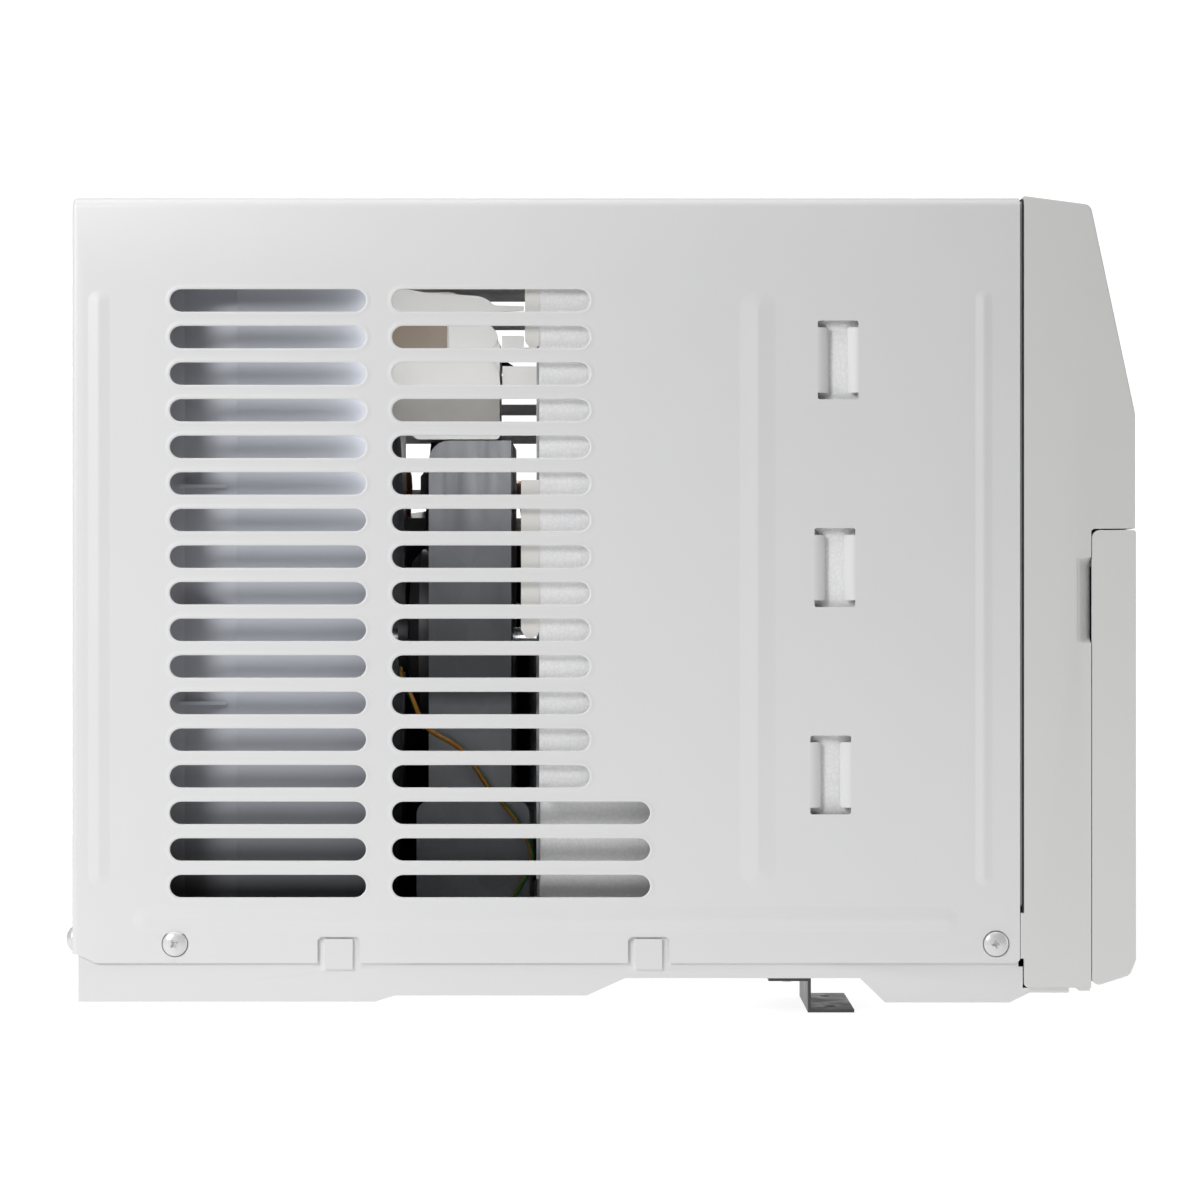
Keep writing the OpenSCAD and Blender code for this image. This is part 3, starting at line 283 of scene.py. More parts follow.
def surface(name, colour, roughness, metal=0.0, vary=0.04, vary_scale=9.0, grain=900.0,
            grain_depth=0.00004, grain_strength=0.25, rough_spread=0.08, stretch=None, coat=0.0):
    """A general finish: uneven colour, uneven roughness and a fine surface grain."""
    mat = bpy.data.materials.new(name)
    mat.use_nodes = True
    tree = mat.node_tree
    shader = tree.nodes["Principled BSDF"]
    shader.inputs["Metallic"].default_value = metal
    shader.inputs["Coat Weight"].default_value = coat
    broad = noise(tree, vary_scale, 4.0)
    tint = blend_colours(tree, remap(tree, broad, 0.0, 1.0), shade(colour, 1.0 - vary),
                         shade(colour, 1.0 + vary))
    tree.links.new(tint, shader.inputs["Base Color"])
    patches = noise(tree, vary_scale * 6.0, 5.0, stretch)
    rough = remap(tree, patches, roughness - rough_spread, roughness + rough_spread)
    tree.links.new(rough, shader.inputs["Roughness"])
    add_bump(tree, shader, noise(tree, grain, 2.0, stretch), grain_strength, grain_depth)
    return mat


def paint(name, colour, roughness):
    """Powder coat: orange peel under a fine grain."""
    mat = surface(name, colour, roughness, vary=0.012, vary_scale=6.0, grain=1600.0, grain_depth=0.00002,
                  grain_strength=0.2, rough_spread=0.05)
    tree = mat.node_tree
    shader = tree.nodes["Principled BSDF"]
    fine = shader.inputs["Normal"].links[0].from_socket
    add_bump(tree, shader, noise(tree, 420.0, 1.0), 0.16, 0.00005, below=fine)
    return mat


def moulded(name, colour, roughness, texture=2200.0, depth=0.00003):
    """Injection moulding with a spark-eroded texture."""
    mat = surface(name, colour, roughness, vary=0.015, vary_scale=7.0, grain=texture, grain_depth=depth,
                  grain_strength=0.35, rough_spread=0.06)
    tree = mat.node_tree
    shader = tree.nodes["Principled BSDF"]
    fine = shader.inputs["Normal"].links[0].from_socket
    add_bump(tree, shader, cells(tree, texture * 0.8), 0.12, depth, below=fine)
    return mat


def galvanised(name, colour):
    """Zinc sheet with soft spangle and rolling marks."""
    mat = surface(name, colour, 0.42, metal=0.75, vary=0.08, vary_scale=14.0, grain=500.0,
                  grain_depth=0.00002, rough_spread=0.12, stretch=(1.0, 1.0, 0.12))
    tree = mat.node_tree
    shader = tree.nodes["Principled BSDF"]
    spangle = cells(tree, 85.0, "Color")
    flake = blend_colours(tree, spangle, shade(colour, 0.82), shade(colour, 1.12))
    base = shader.inputs["Base Color"].links[0].from_socket
    mixed = tree.nodes.new("ShaderNodeMix")
    mixed.data_type = "RGBA"
    mixed.inputs["Factor"].default_value = 0.4
    tree.links.new(base, mixed.inputs[6])
    tree.links.new(flake, mixed.inputs[7])
    tree.links.new(mixed.outputs[2], shader.inputs["Base Color"])
    return mat


def darken_by_height(mat, stops):
    """Paints shade into a finish's colour by its height above the sill: stops are (metres, factor), from
    low to high.
    """
    tree = mat.node_tree
    shader = tree.nodes["Principled BSDF"]
    split = tree.nodes.new("ShaderNodeSeparateXYZ")
    tree.links.new(coords(tree), split.inputs["Vector"])
    low, high = stops[0][0], stops[-1][0]
    ramp = tree.nodes.new("ShaderNodeValToRGB")
    tree.links.new(remap(tree, split.outputs["Z"], 0.0, 1.0, (low, high)), ramp.inputs["Fac"])
    for k, (height, factor) in enumerate(stops):
        place = (height - low) / (high - low)
        stop = ramp.color_ramp.elements[k] if k < 2 else ramp.color_ramp.elements.new(place)
        stop.position = place
        stop.color = (factor, factor, factor, 1.0)
    base = shader.inputs["Base Color"].links[0].from_socket
    multiply = tree.nodes.new("ShaderNodeMix")
    multiply.data_type = "RGBA"
    multiply.blend_type = "MULTIPLY"
    multiply.inputs["Factor"].default_value = 1.0
    tree.links.new(base, multiply.inputs[6])
    tree.links.new(ramp.outputs["Color"], multiply.inputs[7])
    tree.links.new(multiply.outputs[2], shader.inputs["Base Color"])
    return mat


BEAD_SCALE = 390.0
# painted shade: how much light reaches a finish at each height above the sill, multiplied into its
# colour as (metres, factor)
SHROUD_SHADE = ((0.035, 0.03), (0.055, 0.09), (0.075, 0.32), (0.115, 0.8), (0.15, 1.0))
BRACKET_SHADE = ((0.05, 0.75), (0.136, 0.8), (0.142, 0.4), (0.186, 0.46), (0.204, 0.42),
                 (0.222, 0.31), (0.24, 0.28))
FOAM_SHADE = ((0.045, 0.45), (0.06, 0.65), (0.075, 0.8), (0.095, 0.85), (0.1, 0.92),
              (0.14, 0.95), (0.16, 1.0))


def foam(name):
    """Expanded polystyrene: fused beads with darker joints and small pits."""
    mat = bpy.data.materials.new(name)
    mat.use_nodes = True
    tree = mat.node_tree
    shader = tree.nodes["Principled BSDF"]
    shader.inputs["Roughness"].default_value = 0.75
    shader.inputs["Specular IOR Level"].default_value = 0.35
    edges = cells(tree, BEAD_SCALE, "Distance", "DISTANCE_TO_EDGE")
    joint = remap(tree, edges, 0.0, 1.0, (0.0, 0.12))
    tint = blend_colours(tree, joint, (0.91, 0.915, 0.93), (0.985, 0.985, 0.98))
    patches = remap(tree, noise(tree, 18.0, 4.0), 0.0, 1.0)
    broad = blend_colours(tree, patches, (0.96, 0.96, 0.965), (1.0, 1.0, 1.0))
    multiply = tree.nodes.new("ShaderNodeMix")
    multiply.data_type = "RGBA"
    multiply.blend_type = "MULTIPLY"
    multiply.inputs["Factor"].default_value = 1.0
    tree.links.new(tint, multiply.inputs[6])
    tree.links.new(broad, multiply.inputs[7])
    tree.links.new(multiply.outputs[2], shader.inputs["Base Color"])
    pits = add_bump(tree, shader, remap(tree, noise(tree, 700.0, 2.0), 0.0, 1.0), 0.3, 0.0001)
    add_bump(tree, shader, remap(tree, edges, 0.0, 1.0, (0.0, 0.3)), 0.35, 0.00025, below=pits)
    return mat


def net(name, colour):
    """Woven filter net."""
    mat = surface(name, colour, 0.6, vary=0.06, vary_scale=30.0)
    tree = mat.node_tree
    shader = tree.nodes["Principled BSDF"]
    weave = []
    for direction in ("X", "Z"):
        wave = tree.nodes.new("ShaderNodeTexWave")
        wave.bands_direction = direction
        wave.inputs["Scale"].default_value = 230.0
        tree.links.new(coords(tree), wave.inputs["Vector"])
        weave.append(wave.outputs["Fac"])
    top = tree.nodes.new("ShaderNodeMath")
    top.operation = "MAXIMUM"
    tree.links.new(weave[0], top.inputs[0])
    tree.links.new(weave[1], top.inputs[1])
    tint = blend_colours(tree, top.outputs[0], shade(colour, 0.35), shade(colour, 1.2))
    tree.links.new(tint, shader.inputs["Base Color"])
    add_bump(tree, shader, top.outputs[0], 0.8, 0.0003)
    return mat


def make_materials():
    white = (0.80, 0.80, 0.80)
    return {
        "cabinet_paint": paint("cabinet_paint", white, 0.40),
        "pan_paint": paint("pan_paint", (0.79, 0.79, 0.79), 0.42),
        "front_plastic": moulded("front_plastic", (0.745, 0.745, 0.735), 0.5),
        "grille_plastic": moulded("grille_plastic", (0.745, 0.745, 0.735), 0.5),
        "louvre_plastic": moulded("louvre_plastic", (0.74, 0.74, 0.73), 0.45),
        "fascia_plastic": moulded("fascia_plastic", (0.055, 0.06, 0.066), 0.3, 2600.0, 0.00002),
        "button_plastic": moulded("button_plastic", (0.72, 0.72, 0.71), 0.38, 2600.0, 0.00001),
        "display": surface("display", (0.012, 0.013, 0.016), 0.09, vary=0.1, grain=300.0,
                           grain_depth=0.000004, rough_spread=0.03, coat=0.4),
        "screw_steel": surface("screw_steel", (0.74, 0.74, 0.74), 0.36, metal=0.25, vary=0.06,
                               vary_scale=60.0),
        # painted shade: the galvanised colour is darkened by height through BRACKET_SHADE, most above
        # the bend
        "galvanised": darken_by_height(galvanised("galvanised", (0.50, 0.51, 0.54)), BRACKET_SHADE),
        # painted shade: the brackets' pale sheet is drawn near-black for the shadow that fills their
        # faces
        "bracket_paint": galvanised("bracket_paint", (0.09, 0.09, 0.095)),
        # painted shade: the foam's colour is darkened towards the bottom through FOAM_SHADE
        "foam": darken_by_height(foam("foam"), FOAM_SHADE),
        "white_plastic": moulded("white_plastic", (0.84, 0.83, 0.80), 0.42),
        # painted shade: the shroud's colour is darkened towards the bottom through SHROUD_SHADE,
        # near-black at the lowest rows
        "shroud_plastic": darken_by_height(moulded("shroud_plastic", (0.53, 0.55, 0.60), 0.46, 1800.0),
                                           SHROUD_SHADE),
        "dark_plastic": moulded("dark_plastic", (0.022, 0.022, 0.024), 0.45),
        "fan_plastic": moulded("fan_plastic", (0.045, 0.047, 0.05), 0.4),
        "fins": surface("fins", (0.70, 0.72, 0.74), 0.34, metal=0.9, vary=0.07, vary_scale=30.0,
                        grain=600.0),
        "copper": surface("copper", (0.72, 0.36, 0.22), 0.3, metal=1.0, vary=0.14, vary_scale=25.0,
                          rough_spread=0.14),
        "compressor_paint": paint("compressor_paint", (0.014, 0.014, 0.015), 0.32),
        "motor_shell": surface("motor_shell", (0.10, 0.10, 0.105), 0.42, metal=0.5, vary=0.1,
                               vary_scale=25.0),
        "rubber": moulded("rubber", (0.02, 0.02, 0.02), 0.75, 1500.0, 0.00006),
        "wire_green": surface("wire_green", (0.04, 0.20, 0.05), 0.4, vary=0.15, vary_scale=90.0,
                              grain=800.0),
        "wire_black": surface("wire_black", (0.018, 0.018, 0.02), 0.5, vary=0.2, vary_scale=120.0,
                              grain=700.0),
        "shaft_steel": surface("shaft_steel", (0.62, 0.63, 0.65), 0.24, metal=1.0, vary=0.04,
                               vary_scale=60.0),
        "capacitor_can": surface("capacitor_can", (0.68, 0.69, 0.70), 0.3, metal=0.95, vary=0.05,
                                 vary_scale=40.0, stretch=(1.0, 1.0, 0.05)),
        "board": surface("board", (0.02, 0.16, 0.07), 0.35, vary=0.15, vary_scale=60.0, grain=700.0,
                         rough_spread=0.1),
        "mesh": net("mesh", (0.20, 0.21, 0.23)),
    }


# ---------- mesh helpers ----------

def new_object(name, bm, material, body, sharp=35.0):
    """A finished piece from a bmesh in millimetres."""
    bmesh.ops.scale(bm, vec=(MM, MM, MM), verts=bm.verts)
    mesh = bpy.data.meshes.new(name)
    bm.to_mesh(mesh)
    bm.free()
    return finish_object(name, mesh, material, body, sharp)


def finish_object(name, mesh, material, body, sharp):
    mesh.name = name
    mesh.shade_smooth()
    mesh.set_sharp_from_angle(angle=math.radians(sharp))
    mesh.materials.clear()
    mesh.materials.append(material)
    piece = bpy.data.objects.new(name, mesh)
    bpy.context.collection.objects.link(piece)
    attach(piece, body)
    return piece


def with_modifiers(piece):
    """The mesh of a piece once its modifiers are applied."""
    graph = bpy.context.evaluated_depsgraph_get()
    graph.update()
    mesh = bpy.data.meshes.new_from_object(piece.evaluated_get(graph))
    piece.modifiers.clear()
    return mesh


BEVEL_FROM = 30.0    # edges that turn by more degrees than this are rounded
BEVEL_SEGMENTS = 2
CROWN_SEGMENTS = 6
FLAT_FROM = 22.0     # a rounded shell's edges sharper than this stay sharp, so its flats shade evenly


def refined(node, width, extra=None, extra_width=0.0):
    """A copy of a CAD node with its flat faces merged and its sharp edges rounded by width, in mm.
    Edges that extra(edge) picks are rounded by extra_width instead."""
    source = NODES[node]
    bm = bmesh.new()
    bm.from_mesh(source.data)
    bmesh.ops.remove_doubles(bm, verts=bm.verts, dist=2e-6)
    bmesh.ops.dissolve_limit(bm, angle_limit=math.radians(0.6), verts=bm.verts, edges=bm.edges)

    def is_sharp(edge):
        return len(edge.link_faces) == 2 and edge.calc_face_angle(0.0) > math.radians(BEVEL_FROM)

    if extra:
        chosen = [e for e in bm.edges if is_sharp(e) and extra(e)]
        bmesh.ops.bevel(bm, geom=chosen, offset=extra_width * MM, segments=CROWN_SEGMENTS, profile=0.5,
                        affect="EDGES", clamp_overlap=True)
    chosen = [e for e in bm.edges if is_sharp(e)]
    bmesh.ops.bevel(bm, geom=chosen, offset=width * MM, segments=BEVEL_SEGMENTS, profile=0.5,
                    affect="EDGES", clamp_overlap=True)
    mesh = bpy.data.meshes.new(node + "_shell")
    bm.to_mesh(mesh)
    bm.free()
    slot = SLOT_OF[node]
    piece = finish_object(node + "_shell", mesh, MATERIALS[slot], body_of_node(node), FLAT_FROM)
    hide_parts(node)
    return piece


def add_box(bm, low, high):
    """A closed box between two corners."""
    x, y, z = zip(low, high)
    v = [bm.verts.new((x[i], y[j], z[k])) for i in (0, 1) for j in (0, 1) for k in (0, 1)]
    for face in ((0, 1, 3, 2), (4, 6, 7, 5), (0, 4, 5, 1), (2, 3, 7, 6), (0, 2, 6, 4), (1, 5, 7, 3)):
        bm.faces.new([v[i] for i in face])


TUBE_SIDES = 14
TUBE_STEPS = 5


def sweep_round(bm, points, radius, stripe=0, twist=0.0):
    """A round tube of one smooth curve through the points, its ends closed. With stripe, only a band
    with that many corners is made, turning about the tube by twist radians at each step."""
    path = smooth_path([Vector(p) for p in points], TUBE_STEPS)
    rings = []
    normal = None
    for i, p in enumerate(path):
        ahead = path[min(i + 1, len(path) - 1)] - path[max(i - 1, 0)]
        ahead.normalize()
        if normal is None:
            normal = ahead.orthogonal().normalized()
        else:
            normal = (normal - ahead * normal.dot(ahead)).normalized()
        across = ahead.cross(normal)
        ring = []
        for k in range(stripe or TUBE_SIDES):
            a = 2 * math.pi * k / TUBE_SIDES + i * twist
            ring.append(bm.verts.new(p + radius * (math.cos(a) * normal + math.sin(a) * across)))
        rings.append(ring)
    join_rings(bm, rings, closed=not stripe)
    if stripe:
        return
    bm.faces.new(list(reversed(rings[0])))
    bm.faces.new(rings[-1])


def smooth_path(points, per_span):
    """Centripetal spline points through a route."""
    if len(points) < 3:
        return points
    ends = [2 * points[0] - points[1]] + points + [2 * points[-1] - points[-2]]
    path = []
    for i in range(1, len(ends) - 2):
        p0, p1, p2, p3 = ends[i - 1:i + 3]
        t0 = 0.0
        t1 = t0 + max((p1 - p0).length ** 0.5, 1e-4)
        t2 = t1 + max((p2 - p1).length ** 0.5, 1e-4)
        t3 = t2 + max((p3 - p2).length ** 0.5, 1e-4)
        for k in range(per_span):
            t = t1 + (t2 - t1) * k / per_span
            a1 = p0 * ((t1 - t) / (t1 - t0)) + p1 * ((t - t0) / (t1 - t0))
            a2 = p1 * ((t2 - t) / (t2 - t1)) + p2 * ((t - t1) / (t2 - t1))
            a3 = p2 * ((t3 - t) / (t3 - t2)) + p3 * ((t - t2) / (t3 - t2))
            b1 = a1 * ((t2 - t) / (t2 - t0)) + a2 * ((t - t0) / (t2 - t0))
            b2 = a2 * ((t3 - t) / (t3 - t1)) + a3 * ((t - t1) / (t3 - t1))
            path.append(b1 * ((t2 - t) / (t2 - t1)) + b2 * ((t - t1) / (t2 - t1)))
    path.append(points[-1])
    return path


def join_rings(bm, rings, closed=True):
    """Quads between successive rings of equal length."""
    for first, second in zip(rings, rings[1:]):
        count = len(first)
        for k in range(count if closed else count - 1):
            n = (k + 1) % count
            bm.faces.new((first[k], first[n], second[n], second[k]))


# ---------- the embossed cabinet skin ----------

ARC_STEPS = 12
BEND_STEPS = 8
REAR_BEND_STEPS = 4
SHEET_SHARP = 38.0
CORNER_STEPS = 4
WELL_STEPS = 32
SLOT_RIM = ((2.9, 0.0), (2.3, 0.0), (1.7, 0.10), (1.1, 0.24), (0.6, 0.26), (0.25, 0.16), (0.05, -0.02),
            (0.0, -0.25))
DIMPLE_R = 7.4
DIMPLE = ((2.4, 0.0), (1.8, 0.0), (1.0, -0.12), (0.2, -0.32), (-0.8, -0.4))


class Feature:
    """A capsule-shaped emboss or hole: rings at (growth, height) from its outline, capped if asked."""

    def __init__(self, a, b, radius, profile, capped):
        self.a, self.b, self.radius = a, b, radius
        self.profile = [(radius + grow, height) for grow, height in profile]
        self.capped = capped

    def outline(self, radius):
        a, b = self.a, self.b
        heading = math.atan2(b[1] - a[1], b[0] - a[0])
        points = []
        for centre, start in ((b, -0.5), (a, 0.5)):
            for k in range(ARC_STEPS + 1):
                t = heading + math.pi * (start + k / ARC_STEPS)
                points.append((centre[0] + radius * math.cos(t), centre[1] + radius * math.sin(t)))
        return points


def ridge_profile(r):
    """A low ridge with flat flanks, a soft crest and a tight foot."""
    return ((0.8, 0.0), (0.3, 0.0), (-0.1, 0.02), (-0.5, 0.07), (-(r - 0.9), RIB_HEIGHT - 0.1),
            (-(r - 0.45), RIB_HEIGHT - 0.02), (-(r - 0.1), RIB_HEIGHT))


def slot_feature(rear, front, z):
    r = SLOT_H / 2
    return Feature((front + r, z), (rear - r, z), r, SLOT_RIM, False)


def rib_feature(y, width, low, high):
    r = width / 2
    return Feature((y, low + r), (y, high - r), r, ridge_profile(r), True)


def bead_feature():
    r = (BEAD_Z[1] - BEAD_Z[0]) / 2
    z = (BEAD_Z[0] + BEAD_Z[1]) / 2
    return Feature((BEAD_Y[1] + r, z), (BEAD_Y[0] - r, z), r, ridge_profile(r), True)


def dimple_feature(u, v):
    return Feature((u - 0.01, v), (u + 0.01, v), DIMPLE_R, DIMPLE, True)


def slots_of_side(right):
    rows = range(-EXTRA_RIGHT_ROWS if right else 0, SLOT_ROWS)
    shift = RIGHT_SHIFT if right else 0.0
    found = []
    for k in rows:
        z = SLOT_TOP - k * SLOT_PITCH
        long = not right and k >= SLOT_ROWS - LONG_ROWS
        found.append(slot_feature(BANK_REAR[0], BANK_REAR[1] + shift, z))
        front = LOW_FRONT if long else BANK_FRONT[1] + shift
        found.append(slot_feature(BANK_FRONT[0] + shift, front, z))
    return found


def rounded_loop(low, high, r):
    """A rounded rectangle in the plane, counter-clockwise."""
    points = []
    corners = ((high[0] - r, low[1] + r, -90), (high[0] - r, high[1] - r, 0),
               (low[0] + r, high[1] - r, 90), (low[0] + r, low[1] + r, 180))
    for cx, cy, start in corners:
        for k in range(CORNER_STEPS + 1):
            t = math.radians(start + 90 * k / CORNER_STEPS)
            points.append((cx + r * math.cos(t), cy + r * math.sin(t)))
    return points


def add_panel(bm, outline, features, holes, place):
    """A flat sheet with embossed features and plain holes; place(u, v, height) puts each point."""
    loops = [outline] + [f.outline(f.profile[0][0]) for f in features] + list(holes)
    points, faces = [], []
    for loop in loops:
        faces.append(list(range(len(points), len(points) + len(loop))))
        points += [Vector(p) for p in loop]
    found = delaunay_2d_cdt(points, [], faces, 0, 1e-5, True)
    verts = [bm.verts.new(place(p[0], p[1], 0.0)) for p in found[0]]
    for triangle, inside in zip(found[2], found[5]):
        if inside == [0]:
            bm.faces.new([verts[i] for i in triangle])
    for f in features:
        rings = []
        for radius, height in f.profile:
            rings.append([bm.verts.new(place(u, v, height)) for u, v in f.outline(radius)])
        join_rings(bm, rings)
        if f.capped:
            bm.faces.new(rings[-1])


def side_outline():
    """The flat of a side wall as (y, z), with gaps for the pan's tabs and the cut rear corner."""
    rear = CABINET_REAR - REAR_BEND_R
    low, high = CABINET_LOW, CABINET_TOP - BEND_R
    points = [(CABINET_FRONT, low + 1.4), (CABINET_FRONT + 1.4, low)]
    for y0, y1 in sorted(NOTCHES):
        points += [(y0, low), (y0, NOTCH_TOP - 1.5), (y0 + 1.5, NOTCH_TOP), (y1 - 1.5, NOTCH_TOP),
                   (y1, NOTCH_TOP - 1.5), (y1, low)]
    points += [(REAR_CHAMFER[0], low), (rear, REAR_CHAMFER[1]), (rear, high), (CABINET_FRONT, high)]
    return points


def screw_wells():
    """Clearance holes that leave a thin dark ring round each side screw's head."""
    loops = []
    for y, z in SIDE_SCREWS:
        turns = [2 * math.pi * k / WELL_STEPS for k in range(WELL_STEPS)]
        loops.append([(y + SCREW_WELL_R * math.cos(t), z + SCREW_WELL_R * math.sin(t)) for t in turns])
    return loops


def lance_loops():
    """Outlines of the I-shaped openings."""
    w, h, s = LANCE_W / 2, LANCE_H / 2, LANCE_SLOT
    inner = w - 0.05
    loops = []
    for cy, cz in LANCES:
        loops.append([(cy + p[0], cz + p[1]) for p in rounded_loop((-inner, -h), (inner, h), 1.1)])
    return loops


FLAP_W = 5.4
FLAP_STEPS = 6
FLAP_TURN = 30.0
FLAP_CUT = 0.7       # how far the corners of a flap's free edge are cut back


def add_flaps(bm, sign):
    """Flaps bent inwards from the long sides of each I-shaped opening."""
    w, h = LANCE_W / 2 - 0.05, LANCE_H / 2 - LANCE_SLOT - 0.4
    for cy, cz in LANCES:
        for side in (-1, 1):
            columns = []
            reach, depth = 0.0, 0.0
            for k in range(FLAP_STEPS + 1):
                columns.append((cy + side * (w - reach), depth))
                turn = math.radians(FLAP_TURN) * min(1.0, (k + 1) / 3)
                reach += math.cos(turn) * FLAP_W / FLAP_STEPS
                depth += math.sin(turn) * FLAP_W / FLAP_STEPS
            rows = []
            for z in (cz - h, cz - h + FLAP_CUT, cz + h - FLAP_CUT, cz + h):
                inset = side * FLAP_CUT if abs(z - cz) > h - 0.1 else 0.0
                row = []
                for k, (y, d) in enumerate(columns):
                    shift = inset if k == FLAP_STEPS else 0.0
                    row.append(bm.verts.new((sign * (HALF_W - d), y + shift, z)))
                rows.append(row)
            join_rings(bm, rows, closed=False)


def wrapper_path(inset, low=CABINET_LOW):
    """Points of the inverted U in (x, z), drawn in by inset; every inset gives the same count."""
    w = HALF_W - inset
    top = CABINET_TOP - inset
    r = max(BEND_R - inset, 0.5)
    points = [(-w, low)]
    for centre, start in (((-w + r, top - r), 180), ((w - r, top - r), 90)):
        for k in range(BEND_STEPS + 1):
            t = math.radians(start - 90 * k / BEND_STEPS)
            points.append((centre[0] + r * math.cos(t), centre[1] + r * math.sin(t)))
    points.append((w, low))
    return points


def add_side_walls(bm):
    outline = side_outline()
    for sign in (-1, 1):
        features = slots_of_side(sign > 0)
        features += [rib_feature(y, w, *RIB_SPAN) for y, w in RIBS] + [bead_feature()]
        add_panel(bm, outline, features, lance_loops() + screw_wells(),
                  lambda u, v, h, s=sign: (s * (HALF_W + h), u, v))
        add_flaps(bm, sign)


def add_roof(bm, rear):
    """The flat of the top, with a dimple round each screw, and the bends on both sides of it."""
    flat = HALF_W - BEND_R
    roof = [(CABINET_FRONT, -flat), (rear, -flat), (rear, flat), (CABINET_FRONT, flat)]
    dimples = [dimple_feature(y, sx * x) for x, y in TOP_SCREWS for sx in (-1, 1)]
    add_panel(bm, roof, dimples, [], lambda u, v, h: (v, u, CABINET_TOP + h))
    path = wrapper_path(0.0)
    for corner in (path[1:BEND_STEPS + 2], path[BEND_STEPS + 2:2 * BEND_STEPS + 3]):
        rows = [[bm.verts.new((x, y, z)) for x, z in corner] for y in (CABINET_FRONT, rear)]
        join_rings(bm, rows, closed=False)


def add_rear_lip(bm, rear):
    """The bend behind the walls and the top, and the lip that turns in from it."""
    rows = []
    for k in range(REAR_BEND_STEPS + 1):
        t = math.radians(90 * k / REAR_BEND_STEPS)
        inset, y = REAR_BEND_R * (1 - math.cos(t)), rear + REAR_BEND_R * math.sin(t)
        rows.append([bm.verts.new((x, y, z)) for x, z in wrapper_path(inset, REAR_CHAMFER[1])])
    rows.append([bm.verts.new((x, CABINET_REAR, z)) for x, z in wrapper_path(REAR_LIP, REAR_CHAMFER[1])])
    join_rings(bm, rows, closed=False)


def make_cabinet():
    """The wrapper: its outer skin, thickened inwards to the sheet's gauge."""
    bm = bmesh.new()
    rear = CABINET_REAR - REAR_BEND_R
    add_side_walls(bm)
    add_roof(bm, rear)
    add_rear_lip(bm, rear)
    bmesh.ops.remove_doubles(bm, verts=bm.verts, dist=0.002)
    bmesh.ops.recalc_face_normals(bm, faces=bm.faces)
    roof_face = max(bm.faces, key=lambda f: (f.calc_center_median().z, f.calc_area()))
    if roof_face.normal.z < 0:
        bmesh.ops.reverse_faces(bm, faces=bm.faces)
    piece = new_object("cabinet_shell", bm, MATERIALS["cabinet_paint"], "root")
    solid = piece.modifiers.new("sheet", "SOLIDIFY")
    solid.thickness = SHEET * MM
    solid.offset = -1.0
    solid.use_even_offset = True
    solid.use_rim = True
    thick = with_modifiers(piece)
    piece.data = thick
    thick.shade_smooth()
    thick.set_sharp_from_angle(angle=math.radians(SHEET_SHARP))
    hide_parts("cabinet")


# ---------- plastic front and pan ----------

def on_side_wall(edge):
    """True for edges along the outer side walls of the front."""
    a, b = (v.co for v in edge.verts)
    return abs(abs(a.x) - HALF_W * MM) < 1e-5 and abs(abs(b.x) - HALF_W * MM) < 1e-5 and a.x * b.x > 0


CROWN_LOW = 0.2203      # metres
CROWN_FRONT = -0.1930   # metres


def is_frame_crown(edge):
    """Side edges along the frame's top, slope and upper face, which are rounded most."""
    a, b = (v.co for v in edge.verts)
    return on_side_wall(edge) and min(a.z, b.z) > CROWN_LOW and min(a.y, b.y) < CROWN_FRONT


def make_front():
    """The moulded and pressed parts whose CAD edges are sharp, each rounded by its own radius."""
    refined("front_frame", 0.5, extra=is_frame_crown, extra_width=2.2)
    refined("inlet_grille", 0.4)
    refined("base_pan", 0.7)
    refined("bottom_brackets", 0.35)
    refined("control_fascia", 0.25)
    refined("bulkhead", 0.2)


# ---------- coils ----------

FIN_PITCH = 1.9
FIN_THICK = 0.22
FIN_LEAN = 0.12
PLATE_LAP = 1.5      # how far a coil's end plates reach past its fins
PLATE_THICK = 1.2


def make_coil(node, half_x, y, z):
    """Thin fins between two end plates."""
    rng = random.Random(half_x)
    bm = bmesh.new()
    count = int(2 * half_x / FIN_PITCH)
    for i in range(count):
        x = -half_x + (i + 0.5) * FIN_PITCH
        lean = rng.uniform(-FIN_LEAN, FIN_LEAN)
        left, right = x - FIN_THICK / 2 + lean, x + FIN_THICK / 2 + lean
        add_box(bm, (left, y[0], z[0] + 0.2), (right, y[1], z[1] - 0.2))
    for s in (-1, 1):
        inner, outer = sorted((s * half_x, s * (half_x + PLATE_THICK)))
        add_box(bm, (inner, y[0] - PLATE_LAP, z[0]), (outer, y[1] + PLATE_LAP, z[1]))
    piece = new_object(node + "_fins", bm, MATERIALS["fins"], "root")
    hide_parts(node)


def make_coils():
    make_coil("evaporator_core", 200.0, (-214.0, -190.0), (31.0, 214.0))
    make_coil("condenser_core", 206.0, (203.0, 231.0), (10.0, 338.0))


# ---------- pipes and leads ----------

def make_tube(name, node, routes, slot):
    """One smooth tube for each (radius, points) route, standing for a CAD node."""
    bm = bmesh.new()
    for radius, points in routes:
        sweep_round(bm, points, radius)
    piece = new_object(name, bm, MATERIALS[slot], "root")
    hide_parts(node)
    return piece


